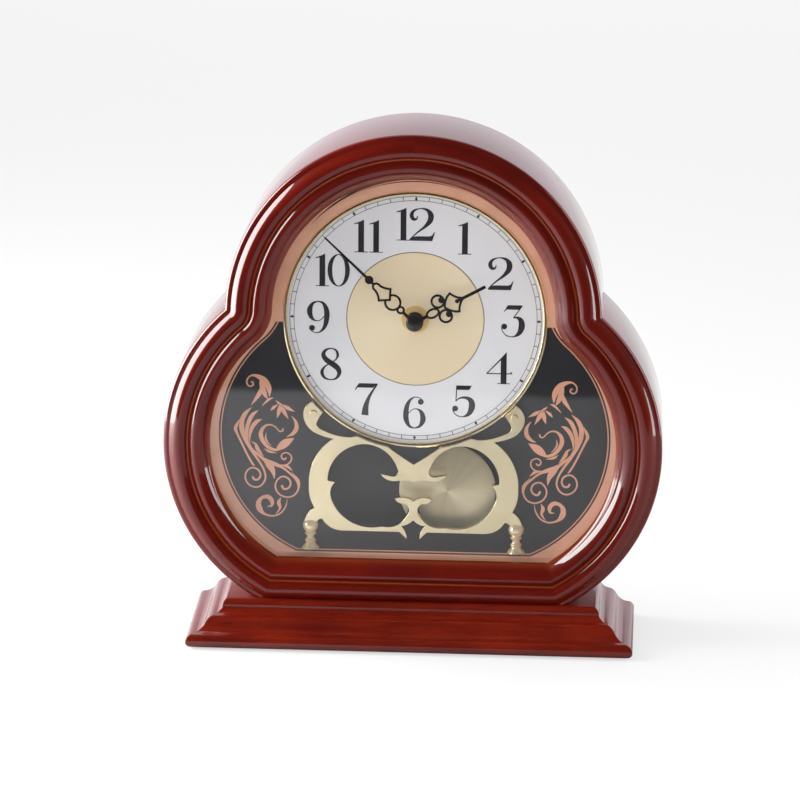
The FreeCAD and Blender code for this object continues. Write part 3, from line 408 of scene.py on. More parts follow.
@dataclass(frozen=True)
class ClearGlass(Finish):
    """Clear flat glass: what it doesn't mirror goes straight through."""

    name: str = "clear_glass"
    tint: Colour = (0.985, 0.99, 0.988)
    least: float = 0.042

    def shade(self, graph: Graph) -> bpy.types.NodeSocket:
        """Mix of clear and mirror.

        The mirror's share is least + (1 - least) (1 - cosine of the slant)^5, the same from
        both sides, so that light at a slant still gets through.

        Args:
            graph: The material's nodes.

        Returns:
            The mixed shader's output.
        """
        clear = graph.node("ShaderNodeBsdfTransparent", None, {"Color": self.tint})
        mirror = graph.node("ShaderNodeBsdfGlossy", None, {"Color": (1.0, 1.0, 1.0), "Roughness": 0.0})
        slant = Wire(graph, graph.node("ShaderNodeLayerWeight", None, {"Blend": 0.5}).outputs["Facing"])
        share = slant ** 5.0 * (1.0 - self.least) + self.least
        return graph.node("ShaderNodeMixShader", None,
                          {0: share, 1: clear.outputs[0], 2: mirror.outputs[0]}).outputs[0]


@dataclass(frozen=True)
class Enamel(Finish):
    """Printed or sprayed colour with a little unevenness: board, print, hands and trim."""

    name: str
    colour: Colour
    worn: Colour
    gloss: float = 0.3
    metal: float = 0.0
    coat: float = 0.0
    scale: float = 60.0
    relief: float = 0.00001

    def inputs(self, graph: Graph) -> dict[str, Any]:
        """Slow clouds in the colour and fine unevenness in the gloss.

        Args:
            graph: The material's nodes.

        Returns:
            The shader's inputs.
        """
        place = graph.vector(*graph.axes())
        cloud = graph.noise(place, self.scale, 3.0)
        fine = graph.noise(place, self.scale * 25.0, 2.0)
        return {
            "Base Color": graph.blend(cloud.step(0.35, 0.7), self.colour, self.worn),
            "Roughness": fine * 0.08 + (self.gloss - 0.04),
            "Metallic": self.metal,
            "Coat Weight": self.coat,
            "Coat Roughness": 0.04,
            "Normal": graph.bump(fine, self.relief, 0.5),
        }


@dataclass(frozen=True)
class TurnedMetal(Finish):
    """Metal sheet with fine circular grooves, and wedges of highlight from the centre painted into its
    colour.
    """

    name: str
    centre: tuple[float, float]
    pale: Colour
    dark: Colour
    gloss: float = 0.3
    metal: float = 1.0
    pitch: float = 0.5
    relief: float = 0.00003
    # Count, turn and strength of the painted highlight wedges and streaks
    wedges: float = 2.0
    turn: float = 0.0
    contrast: float = 0.6

    def inputs(self, graph: Graph) -> dict[str, Any]:
        """Grooves follow the radius; painted highlight wedges and streaks follow the angle about the
        centre.

        Args:
            graph: The material's nodes.

        Returns:
            The shader's inputs.
        """
        x, _, z = graph.axes()
        across = x - self.centre[0] * MM
        up = z - self.centre[1] * MM
        radius = (across * across + up * up) ** 0.5
        angle = up.angle_over(across)
        groove = graph.noise(graph.vector(radius * (1.0 / (self.pitch * MM)), angle * 0.4, 0.0), 1.0, 2.0)
        safe = radius.larger(0.0001)
        # Painted highlight: radial streaks and bright and dark wedges by angle, standing in for light off
        # the grooves
        painted_spoke_sheen = graph.noise(graph.vector(across / safe, up / safe, self.turn), 4.5, 3.0, 0.7)
        painted_wedge_highlight = ((angle * self.wedges + self.turn).sine() * 0.5 + 0.5) ** 1.5
        share = (painted_wedge_highlight * 0.65 + painted_spoke_sheen * 0.35) * self.contrast + (groove - 0.5) * 0.25
        return {
            "Base Color": graph.blend(share, self.dark, self.pale),
            "Roughness": groove * 0.12 + (self.gloss - 0.06),
            "Metallic": self.metal,
            "Normal": graph.bump(groove, self.relief, 1.0),
        }


@dataclass(frozen=True)
class Plated(Finish):
    """Polished or brushed plating with faint smears."""

    name: str
    colour: Colour
    smear: Colour
    gloss: float = 0.12
    relief: float = 0.00002
    scale: float = 120.0

    def inputs(self, graph: Graph) -> dict[str, Any]:
        """Faint smears in colour and gloss, and a slightly wavy skin.

        Args:
            graph: The material's nodes.

        Returns:
            The shader's inputs.
        """
        place = graph.vector(*graph.axes())
        smears = graph.noise(place, self.scale, 3.0, 0.6)
        return {
            "Base Color": graph.blend(smears.step(0.4, 0.75), self.colour, self.smear),
            "Metallic": 1.0,
            "Roughness": smears * 0.1 + (self.gloss - 0.05),
            "Normal": graph.bump(smears, self.relief, 0.5),
        }


@dataclass(frozen=True)
class Moulded(Finish):
    """Moulded plastic with a fine spark texture."""

    name: str
    colour: Colour
    bright: Colour
    gloss: float = 0.45
    scale: float = 1800.0
    relief: float = 0.00003

    def inputs(self, graph: Graph) -> dict[str, Any]:
        """Fine pits, and slow clouds in the colour.

        Args:
            graph: The material's nodes.

        Returns:
            The shader's inputs.
        """
        place = graph.vector(*graph.axes())
        pits = graph.noise(place, self.scale, 2.0)
        cloud = graph.noise(place, 40.0)
        return {
            "Base Color": graph.blend(cloud.step(0.3, 0.75), self.colour, self.bright),
            "Roughness": pits * 0.15 + (self.gloss - 0.07),
            "Normal": graph.bump(pits, self.relief, 0.7),
        }


@dataclass(frozen=True)
class Winding(Finish):
    """Close turns of enamelled wire round the width axis."""

    name: str = "copper_wire"
    copper: Colour = (0.62, 0.24, 0.09)
    gap: Colour = (0.20, 0.06, 0.025)
    turns_per_mm: float = 4.0

    def inputs(self, graph: Graph) -> dict[str, Any]:
        """Stripes of wire across the coil.

        Args:
            graph: The material's nodes.

        Returns:
            The shader's inputs.
        """
        x, y, z = graph.axes()
        turn = ((x + y) * (2 * math.pi * self.turns_per_mm / MM)).sine() * 0.5 + 0.5
        uneven = graph.noise(graph.vector(x, y, z), 700.0)
        return {
            "Base Color": graph.blend(turn * 0.7 + uneven * 0.3, self.gap, self.copper),
            "Metallic": 0.8,
            "Roughness": uneven * 0.15 + 0.25,
            "Normal": graph.bump(turn, 0.00006, 0.8),
        }


@dataclass(frozen=True)
class SolderMask(Finish):
    """Green board with darker tracks under the mask."""

    name: str = "circuit"
    green: Colour = (0.03, 0.17, 0.07)
    track: Colour = (0.07, 0.28, 0.11)

    def inputs(self, graph: Graph) -> dict[str, Any]:
        """Broken bands stand for the tracks.

        Args:
            graph: The material's nodes.

        Returns:
            The shader's inputs.
        """
        x, y, z = graph.axes()
        lanes = ((z + (x * 900.0).sine() * 0.0006) * 2600.0).sine()
        broken = graph.noise(graph.vector(x, y, z), 260.0)
        mask = lanes.step(0.2, 0.5) * broken.step(0.42, 0.5)
        return {
            "Base Color": graph.blend(mask, self.green, self.track),
            "Roughness": 0.35,
            "Normal": graph.bump(mask, 0.00003, 0.8),
        }


class Finishes:
    """Every finish of the clock, built once each."""

    LACQUER = Lacquer()
    # Painted light: the plinth's stain is a lighter copy of the frame's, to make it read brighter; its
    # grain across the width and heavier flecks are the wood's own
    PLINTH = Lacquer(name="plinth_wood_painted_lighter", grain=Grain.WIDTH, fleck_share=0.7, stain=(0.135, 0.0085, 0.002))
    BOARD = Fibreboard()
    FELT = Felt()
    GLASS = ClearGlass()
    COPPER = Enamel("copper_trim", (0.79, 0.44, 0.30), (0.72, 0.39, 0.26), 0.40, 0.1, 0.1)
    ROSE = Enamel("rose_print", (0.70, 0.35, 0.225), (0.64, 0.31, 0.19), 0.45, 0.1)
    FIELD = Enamel("printed_board", (0.012, 0.012, 0.015), (0.016, 0.016, 0.020), 0.50)
    DIAL = Enamel("silver_dial", (0.80, 0.79, 0.815), (0.77, 0.76, 0.79), 0.42, 0.15, 0.2, 25.0)
    # Centre disc and bob carry painted highlight wedges
    DISC = TurnedMetal("gold_disc", (0.0, 187.0), (0.98, 0.84, 0.61), (0.82, 0.67, 0.45),
                       gloss=0.45, metal=0.2, wedges=2.0, turn=0.9)
    BOB = TurnedMetal("pendulum_gold", (19.2, 82.8), (0.97, 0.86, 0.60), (0.50, 0.41, 0.25),
                      gloss=0.40, metal=0.65, wedges=2.0, turn=2.4, contrast=0.9)
    GOLD = Plated("polished_gold", (1.0, 0.87, 0.57), (0.97, 0.81, 0.49), 0.16)
    GILT = Enamel("cast_gilt", (0.96, 0.82, 0.54), (0.86, 0.70, 0.42), 0.20, 0.6, 0.3)
    NUT = Enamel("nut_brass", (0.86, 0.62, 0.28), (0.74, 0.50, 0.20), 0.30, 0.4, 0.2)
    BRASS = Plated("hinge_brass", (0.70, 0.50, 0.24), (0.60, 0.40, 0.18), 0.25)
    STEEL = Plated("steel", (0.60, 0.60, 0.62), (0.48, 0.48, 0.50), 0.28)
    BLACK = Enamel("black_hands", (0.012, 0.010, 0.010), (0.018, 0.015, 0.015), 0.22, 0.0, 0.5)
    INK = Enamel("dial_print", (0.016, 0.013, 0.018), (0.022, 0.019, 0.024), 0.45)
    FINE_INK = Enamel("dial_fine_print", (0.075, 0.07, 0.10), (0.10, 0.095, 0.13), 0.45)
    DISC_LINE = Enamel("disc_line", (0.20, 0.13, 0.08), (0.26, 0.17, 0.10), 0.45)
    PLASTIC = Moulded("black_plastic", (0.018, 0.018, 0.019), (0.026, 0.026, 0.028))
    ACETAL = Moulded("gear_plastic", (0.78, 0.76, 0.69), (0.84, 0.82, 0.76), 0.35)
    WIRE = Winding()
    MASK = SolderMask()
    JACKET = Enamel("battery_jacket", (0.05, 0.05, 0.06), (0.08, 0.08, 0.09), 0.3, 0.6)

    def __init__(self) -> None:
        """Start with nothing built."""
        self.built: dict[str, bpy.types.Material] = {}

    def of(self, finish: Finish) -> bpy.types.Material:
        """The material of a finish, built at its first use.

        Args:
            finish: The finish.

        Returns:
            Its material.
        """
        if finish.name not in self.built:
            self.built[finish.name] = material_of(finish.name, finish.shade)
        return self.built[finish.name]


finishes = Finishes()


# Meshes


def grid_faces(rows: int, columns: int, wrap_rows: bool, wrap_columns: bool) -> Array:
    """Four-sided faces between neighbours of a grid of points.

    Face (i, j) joins points (i, j), (i + 1, j), (i + 1, j + 1) and (i, j + 1), where point
    (i, j) has number i * columns + j.

    Args:
        rows: Rows of the grid.
        columns: Columns of the grid.
        wrap_rows: Whether the last row meets the first.
        wrap_columns: Whether the last column meets the first.

    Returns:
        Point numbers, one row of four for each face.
    """
    i = np.arange(rows if wrap_rows else rows - 1)[:, None]
    j = np.arange(columns if wrap_columns else columns - 1)[None, :]
    after_i, after_j = (i + 1) % rows, (j + 1) % columns
    corners = [i * columns + j, after_i * columns + j, after_i * columns + after_j,
               i * columns + after_j]
    return np.stack(corners, -1).reshape(-1, 4)


def smooth_line(knots: Array, samples: int, closed: bool = False) -> Array:
    """Curve through the knots, every column interpolated alike.

    Between knots b and c, with a before and d after, the point at share s is half of
    2b + (c - a) s + (2a - 5b + 4c - d) s^2 + (3b - a - 3c + d) s^3.

    Args:
        knots: One row for each knot.
        samples: Rows wanted.
        closed: Whether the last knot joins the first.

    Returns:
        The sampled rows.
    """
    count = len(knots)
    if closed:
        t = np.linspace(0, count, samples, endpoint=False)
        low = np.floor(t).astype(int)
        a, b, c, d = (knots[(low + k) % count] for k in (-1, 0, 1, 2))
    else:
        t = np.linspace(0, count - 1, samples)
        low = np.minimum(np.floor(t).astype(int), count - 2)
        padded = np.vstack([2 * knots[0] - knots[1], knots, 2 * knots[-1] - knots[-2]])
        a, b, c, d = (padded[low + k] for k in range(4))
    s = (t - low)[:, None]
    return 0.5 * (2 * b + (c - a) * s + (2 * a - 5 * b + 4 * c - d) * s ** 2
                  + (3 * b - a - 3 * c + d) * s ** 3)


def at_depth(flat: Array, y: float) -> Array:
    """Points of x, z set at one depth."""
    return np.column_stack([flat[:, 0], np.full(len(flat), y), flat[:, 1]])


def circle(sides: int) -> Array:
    """Cosine and sine of evenly turned angles."""
    turn = np.linspace(0, 2 * math.pi, sides, endpoint=False)
    return np.column_stack([np.cos(turn), np.sin(turn)])


def placed(name: str, data: Any) -> bpy.types.Object:
    """New object at the origin.

    Args:
        name: Its name.
        data: Its mesh, lamp or camera.

    Returns:
        The object.
    """
    made = bpy.data.objects.new(name, data)
    bpy.context.scene.collection.objects.link(made)
    return made


class Shell:
    """Points and faces gathered for one piece, in millimetres."""

    FINEST_PEN = 0.05
    KNOT_SAMPLES = 10
    DISC_SIDES = 28

    def __init__(self) -> None:
        """Start empty."""
        self.points: list[Array] = []
        self.faces: list[tuple[int, ...]] = []
        self.count = 0

    def add(self, points: Array, faces: Iterable[Sequence[int]]) -> None:
        """Add one closed form.

        Args:
            points: Rows of x, y, z.
            faces: Point numbers within these rows.
        """
        self.points.append(np.asarray(points, float))
        self.faces += [tuple(int(n) + self.count for n in f) for f in faces]
        self.count += len(points)

    def strip(self, sections: Array, closed: bool) -> None:
        """Add a form swept through sections of equal count, capped unless closed.

        Args:
            sections: Array of sections, points and x, y, z.
            closed: Whether the last section meets the first.
        """
        rows, columns, _ = sections.shape
        faces = grid_faces(rows, columns, closed, True).tolist()
        if not closed:
            faces += [list(range(columns)), list(range((rows - 1) * columns, rows * columns))]
        self.add(sections.reshape(-1, 3), faces)

    def band(self, one: Array, other: Array, depth: Pair, closed: bool) -> None:
        """Add the flat form between two lines.

        Args:
            one: Points of x, z along one side.
            other: As many points along the other side.
            depth: Its front and back.
            closed: Whether it is a ring.
        """
        front, back = depth
        corners = [(one, front), (other, front), (other, back), (one, back)]
        self.strip(np.stack([at_depth(flat, y) for flat, y in corners], 1), closed)

    def ribbon(self, line: Array, half: Array, depth: Pair, closed: bool = False) -> None:
        """Add a flat ribbon about its middle line.

        Each side lies at the middle point plus or minus the unit normal times the half width;
        the normal is the step between neighbours turned by a quarter.

        Args:
            line: Middle points as x, z.
            half: Half width at each point.
            depth: Its front and back.
            closed: Whether it is a ring.
        """
        step = np.roll(line, -1, 0) - np.roll(line, 1, 0) if closed else np.gradient(line, axis=0)
        step = step / np.maximum(np.linalg.norm(step, axis=1, keepdims=True), 1e-9)
        reach = np.column_stack([-step[:, 1], step[:, 0]]) * half[:, None]
        self.band(line + reach, line - reach, depth, closed)

    def stroke(self, knots: Array, depth: Pair, closed: bool = False) -> None:
        """Add a pen stroke, a ribbon through knots of x, z and full width."""
        rows = smooth_line(knots, self.KNOT_SAMPLES * len(knots), closed)
        self.ribbon(rows[:, :2], np.maximum(rows[:, 2], self.FINEST_PEN) / 2, depth, closed)

    def slab(self, outline: Array, depth: Pair) -> None:
        """Add a flat plate with straight sides.

        Args:
            outline: Corners as x, z.
            depth: Its front and back.
        """
        count = len(outline)
        n = np.arange(count)
        sides = np.stack([n, (n + 1) % count, (n + 1) % count + count, n + count], 1).tolist()
        self.add(np.vstack([at_depth(outline, y) for y in depth]),
                 sides + [n.tolist(), (n + count).tolist()])

    def disc(self, centre: Pair, radius: float, depth: Pair) -> None:
        """Add a flat round plate with its centre at x, z."""
        self.slab(circle(self.DISC_SIDES) * radius + centre, depth)

    def ring(self, centre: Pair, inner: float, outer: float, depth: Pair, sides: int = 240) -> None:
        """Add a flat ring between two radii, with its centre at x, z."""
        half = np.full(sides, (outer - inner) / 2)
        self.ribbon(circle(sides) * (inner + outer) / 2 + centre, half, depth, True)

    def turned(self, profile: Array, x: float, z: float, sides: int, upright_y: float | None = None
               ) -> None:
        """Add a lathe form about a depth axis, or about an upright one.

        Point (i, j) lies at the radius of profile row j, turned by the share i of a full
        circle, and as far along the axis as that row says. Rows of radius 0 close the ends.

        Args:
            profile: Rows of radius and place along the axis, closed where both ends are 0.
            x: Axis place.
            z: Axis place, or the start of the profile on an upright axis.
            sides: Segments.
            upright_y: Depth of an upright axis, or None for an axis along the depth.
        """
        cosine, sine = circle(sides).T[..., None]
        radius, along = profile.T[:, None]
        flat = np.zeros((sides, 1))
        if upright_y is None:
            parts = (x + radius * cosine, along + flat, z + radius * sine)
        else:
            parts = (x + radius * cosine, upright_y + radius * sine, z + along + flat)
        faces = grid_faces(sides, len(profile), True, profile[0, 0] != 0)
        self.add(np.stack(parts, -1).reshape(-1, 3), faces)

    def mesh(self, name: str) -> bpy.types.Object:
        """Write the gathered forms into a new object.

        Args:
            name: The piece's name.

        Returns:
            The object, at the origin.
        """
        data = bpy.data.meshes.new(name)
        data.from_pydata((np.vstack(self.points) * MM).tolist(), [], self.faces)
        return placed(name, data)

    def finish(self, name: str, dress: "Dress", trim: Plane | None = None) -> None:
        """Write the piece, close it up and hand it over.

        Args:
            name: The piece's name.
            dress: How it is handed over.
            trim: Plane that it is cut off at.
        """
        piece = self.mesh(name)
        close_up(piece, trim)
        hand_over(piece, dress)


def above(z: float) -> Plane:
    """Plane that keeps what lies above a height."""
    return (0.0, 0.0, z), (0.0, 0.0, 1.0)


def close_up(piece: bpy.types.Object, trim: Plane | None = None) -> None:
    """Merge doubles, cut off at a plane, and turn every face outwards.

    Args:
        piece: The object to mend.
        trim: A point of the plane, and the direction of the side that stays. The cut is
            closed flat.
    """
    work = bmesh.new()
    work.from_mesh(piece.data)
    bmesh.ops.remove_doubles(work, verts=work.verts, dist=WELD)
    bmesh.ops.dissolve_degenerate(work, edges=work.edges, dist=SLIVER)
    if trim:
        place, kept_side = trim
        cut = bmesh.ops.bisect_plane(
            work, geom=[*work.verts, *work.edges, *work.faces], dist=SLIVER,
            plane_co=[v * MM for v in place], plane_no=kept_side, clear_inner=True)
        rim = [e for e in cut["geom_cut"] if isinstance(e, bmesh.types.BMEdge)]
        bmesh.ops.holes_fill(work, edges=rim, sides=0)
    bmesh.ops.recalc_face_normals(work, faces=work.faces)
    work.to_mesh(piece.data)
    work.free()


@dataclass(frozen=True)
class Dress:
    """How one piece is handed over."""

    body: Body
    slot: str
    finish: Finish
    stands_for: tuple[str, ...] = ()
    crease: float = 35.0
    soft_edge: float = 0.0


def hand_over(piece: bpy.types.Object, dress: Dress) -> None:
    """Shade, round, dress and mount a finished mesh.

    Args:
        piece: The object.
        dress: Its body, slot, finish, replaced nodes, crease angle and edge rounding.
    """
    piece.data.shade_smooth()
    piece.data.set_sharp_from_angle(angle=math.radians(dress.crease))
    if dress.soft_edge:
        bevel = piece.modifiers.new("soft_edges", "BEVEL")
        bevel.width = dress.soft_edge * MM
        bevel.segments = 2
        bevel.limit_method = "ANGLE"
        bevel.angle_limit = math.radians(dress.crease)
        bevel.harden_normals = True
    piece.data.materials.clear()
    piece.data.materials.append(finishes.of(dress.finish))
    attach(piece, dress.body.value)
    if dress.stands_for:
        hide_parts(*dress.stands_for)
    LOG.info("%s: %d points, rides on %s", piece.name, len(piece.data.vertices), dress.body.value)


def softened(node: str, name: str, dress: Dress) -> None:
    """Hand over a copy of a CAD node, merged and with rounded edges, that stands for it.

    Args:
        node: The CAD node.
        name: The new piece's name.
        dress: How it is handed over.
    """
    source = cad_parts[node].data
    points = np.zeros(len(source.vertices) * 3, np.float32)
    source.vertices.foreach_get("co", points)
    faces = np.zeros(len(source.loops), np.int32)
    source.loops.foreach_get("vertex_index", faces)
    data = bpy.data.meshes.new(name)
    data.from_pydata(points.reshape(-1, 3).tolist(), [], faces.reshape(-1, 3).tolist())
    work = bmesh.new()
    work.from_mesh(data)
    bmesh.ops.remove_doubles(work, verts=work.verts, dist=10 * WELD)
    bmesh.ops.dissolve_limit(work, angle_limit=FLAT_WITHIN, verts=work.verts, edges=work.edges)
    work.to_mesh(data)
    work.free()
    hand_over(placed(name, data), replace(dress, stands_for=(node,)))


def keep_nodes(finish: Finish, *nodes: str) -> None:
    """Dress CAD nodes that stay as they are.

    Args:
        finish: Their finish.
        nodes: Their names.
    """
    for node in nodes:
        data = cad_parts[node].data
        data.materials.clear()
        data.materials.append(finishes.of(finish))
        LOG.info("%s: CAD node kept, %s", node, finish.name)


# Case


def arc(x: float, z: float, radius: Array, start: Any, end: Any, steps: int) -> Array:
    """Arcs about one centre, each from its start angle to just before its end.

    Point i lies at the centre plus the radius times the cosine and sine of
    start + (end - start) i / steps.

    Args:
        x: The centre's x.
        z: The centre's z.
        radius: One row for each arc.
        start: Angle of each arc's first point.
        end: Angle just after its last.
        steps: Points for each arc.

    Returns:
        Array of arcs, points and x, z.
    """
    turn = start + (end - start) * (np.arange(steps)[None, :] / steps)
    return np.stack([x + radius * np.cos(turn), z + radius * np.sin(turn)], -1)


@dataclass(frozen=True)
class Trefoil:
    """Outline of the case: a top lobe and two side lobes of one radius, on a flat foot."""

    lobe_radius: float = 107.45
    spread: float = 35.9
    side_z: float = 116.8
    top_z: float = 193.4
    notch_radius: float = 0.6
    foot_z: float = 21.4
    seat_z: float = 24.9
    top_steps: int = 84
    notch_steps: int = 22
    lobe_steps: int = 106
    foot_steps: int = 24

    def notch(self) -> Pair:
        """Point that is a lobe radius and a notch radius away from both lobe centres.

        Returns:
            Its x and z.
        """
        rise = self.top_z - self.side_z
        span = math.hypot(self.spread, rise)
        reach = math.sqrt((self.lobe_radius + self.notch_radius) ** 2 - span ** 2 / 4)
        return (self.spread / 2 + reach * rise / span,
                (self.top_z + self.side_z) / 2 + reach * self.spread / span)

    def lines(self, insets: Array) -> Array:
        """Closed outlines parallel to the case's edge, one for each inset.

        The right half runs down the top lobe, through the notch's arc, round the side lobe
        and in along the foot; the left half is its mirror image. A lobe's arc has the lobe
        radius less the inset, the notch's arc the notch radius plus it, and the foot rises
        by it.

        Args:
            insets: Distances inwards.

        Returns:
            Array of insets, stations and x, z.
        """
        inset = np.asarray(insets, float)[:, None]
        radius, hollow = self.lobe_radius - inset, self.notch_radius + inset
        nx, nz = self.notch()
        to_top = math.atan2(nz - self.top_z, nx)
        to_side = math.atan2(nz - self.side_z, nx - self.spread)
        foot = self.foot_z + inset
        corner = -np.arcsin((self.side_z - foot) / radius)
        top = arc(0.0, self.top_z, radius, math.pi / 2, to_top, self.top_steps)
        notch = arc(nx, nz, hollow, to_top + math.pi, to_side + math.pi, self.notch_steps)
        lobe = arc(self.spread, self.side_z, radius, to_side, corner, self.lobe_steps)
        corner_x = self.spread + radius * np.cos(corner)
        share = np.arange(self.foot_steps + 1)[None, :] / self.foot_steps
        line = np.stack([corner_x * (1 - share), foot + 0 * share], -1)
        right = np.concatenate([top, notch, lobe, line], 1)
        left = right[:, -2:0:-1] * np.array([-1.0, 1.0])
        return np.concatenate([right, left], 1)

    def sweep(self, name: str, profile: Array, dress: Dress, trim: Plane | None = None,
              glow: Array | None = None) -> None:
        """Hand over a closed profile carried round the outline.

        Station i of the outline at the inset of profile row j, at that row's depth, is point
        (i, j). The map on the surface runs by the distance along the outer edge and across
        the profile, in metres.

        Args:
            name: The piece's name.
            profile: Rows of inset and y, closed.
            dress: How it is handed over.
            trim: Plane that it is cut off at.
            glow: Share of the painted warm highlight for each row.
        """
        flat = self.lines(profile[:, 0]).transpose(1, 0, 2)
        stations, rows, _ = flat.shape
        depth = np.broadcast_to(profile[:, 1], (stations, rows))
        points = np.stack([flat[..., 0], depth, flat[..., 1]], -1)
        data = bpy.data.meshes.new(name)
        faces = grid_faces(stations, rows, True, True)
        data.from_pydata((points.reshape(-1, 3) * MM).tolist(), [], faces.tolist())
        outer = self.lines(np.zeros(1))[0]
        step = np.linalg.norm(np.roll(outer, -1, 0) - outer, axis=1)
        along = np.concatenate([[0.0], np.cumsum(step)]) * MM
        edge = np.linalg.norm(np.roll(profile, -1, 0) - profile, axis=1)
        across = np.concatenate([[0.0], np.cumsum(edge)]) * MM
        i = np.repeat(np.arange(stations), rows)
        j = np.tile(np.arange(rows), stations)
        corners = [(i, j), (i + 1, j), (i + 1, j + 1), (i, j + 1)]
        spread = np.stack([np.column_stack([along[a], across[b]]) for a, b in corners], 1)
        layer = data.uv_layers.new(name="surface_map")
        layer.data.foreach_set("uv", spread.astype(np.float32).ravel())
        if glow is not None:
            tint = data.attributes.new("glow", "FLOAT", "POINT")
            tint.data.foreach_set("value", np.tile(glow, stations).astype(np.float32))
        piece = placed(name, data)
        close_up(piece, trim)
        hand_over(piece, dress)


@dataclass(frozen=True)
class Moulding:
    """Profile of the front frame: inset from its edge and height over its rim plane."""

    edge_roll: Line = (
        (0.0, 0.0), (0.15, 1.2), (0.8, 2.3), (1.9, 2.8), (3.1, 2.75))
    outer_band: Line = (
        (3.5, 2.8), (4.7, 3.9), (6.0, 4.95), (7.3, 5.6), (8.6, 5.8), (10.0, 5.65), (11.3, 5.1),
        (12.4, 4.3), (13.2, 3.4), (13.7, 2.7))
    inner_band: Line = (
        (14.2, 2.6), (14.9, 3.25), (15.8, 4.0), (16.8, 4.75), (17.7, 5.05), (18.8, 5.0),
        (20.0, 4.55), (21.2, 3.8), (22.4, 2.8), (23.4, 1.75), (24.2, 0.85), (24.9, 0.0),
        (25.7, -0.8), (26.6, -1.45))
    per_knot: int = 3
    # Widths of the painted warm highlight at the groove and the sight edge, and its share at the sight
    # edge
    groove_width: float = 0.5
    sight_width: float = 2.2
    sight_painted_glint: float = 0.35

    def rows(self) -> Array:
        """Edge roll, outer band and inner band, each a smooth line through its knots."""
        return np.vstack([smooth_line(np.array(part), self.per_knot * len(part))
                          for part in (self.edge_roll, self.outer_band, self.inner_band)])


@dataclass
class CaseWork:
    """Front frame, sleeve, plinth and felt: everything that is lacquered."""

    outline: Trefoil = Trefoil()
    moulding: Moulding = Moulding()
    rim_y: float = -14.5
    frame_back_y: float = 5.5
    rear_y: float = 41.5
    lip_y: float = -10.2
    rebate_inset: float = 21.7
    sleeve_wall: float = 10.0
    board_ledge: Pair = (4.0, 8.5)
    panel_ledge: Pair = (6.0, 34.5)
    edge_round: float = 0.8
    crease: float = 32.0

    def front_frame(self) -> None:
        """The moulded frame, with its lip and the rebate behind it.

        The painted warm highlight, a glint on the lacquer, fades from the groove, and more weakly
        from the sight edge, as exp(-(distance / width)^2).
        """
        shape = self.moulding
        face = shape.rows()
        front = np.column_stack([face[:, 0], self.rim_y - face[:, 1]])
        sight = shape.inner_band[-1][0]
        behind = [(sight, self.lip_y), (self.rebate_inset, self.lip_y),
                  (self.rebate_inset, self.frame_back_y), (0.0, self.frame_back_y)]
        profile = np.vstack([front, behind])
        groove = (shape.outer_band[-1][0] + shape.inner_band[0][0]) / 2
        near = np.exp(-((profile[:, 0] - groove) / shape.groove_width) ** 2)
        inner = np.exp(-((profile[:, 0] - sight) / shape.sight_width) ** 2) * shape.sight_painted_glint
        look = Dress(Body.CASE, "lacquered_wood", Finishes.LACQUER, ("front_frame",), self.crease)
        self.outline.sweep("frame_moulding", profile, look, above(self.outline.seat_z),
                           np.maximum(near, inner))

    def sleeve(self) -> None:
        """The deep sleeve behind the frame, with ledges for the board and the back.

        Its rear edge is a quarter circle of radius edge_round.
        """
        r = self.edge_round
        turn = np.linspace(0, math.pi / 2, 6)
        rounded = np.column_stack([r - r * np.cos(turn), self.rear_y - r + r * np.sin(turn)])
        ledge, seat = self.board_ledge, self.panel_ledge
        profile = np.vstack([
            [(0.0, self.frame_back_y)], rounded,
            [(seat[0], self.rear_y), seat, (self.sleeve_wall, seat[1]), (self.sleeve_wall, ledge[1]),
             ledge, (ledge[0], self.frame_back_y)]])
        look = Dress(Body.CASE, "lacquered_wood", Finishes.LACQUER, ("case_rim",), self.crease)
        self.outline.sweep("case_sleeve", profile, look, above(self.outline.seat_z))

    def build(self) -> None:
        """Make every piece of the case."""
        self.front_frame()
        self.sleeve()
        PlinthWork(rear_y=self.rear_y, crease=self.crease).build()
        keep_nodes(Finishes.FELT, "base_felt")
        keep_nodes(Finishes.STEEL, "plinth_screws")


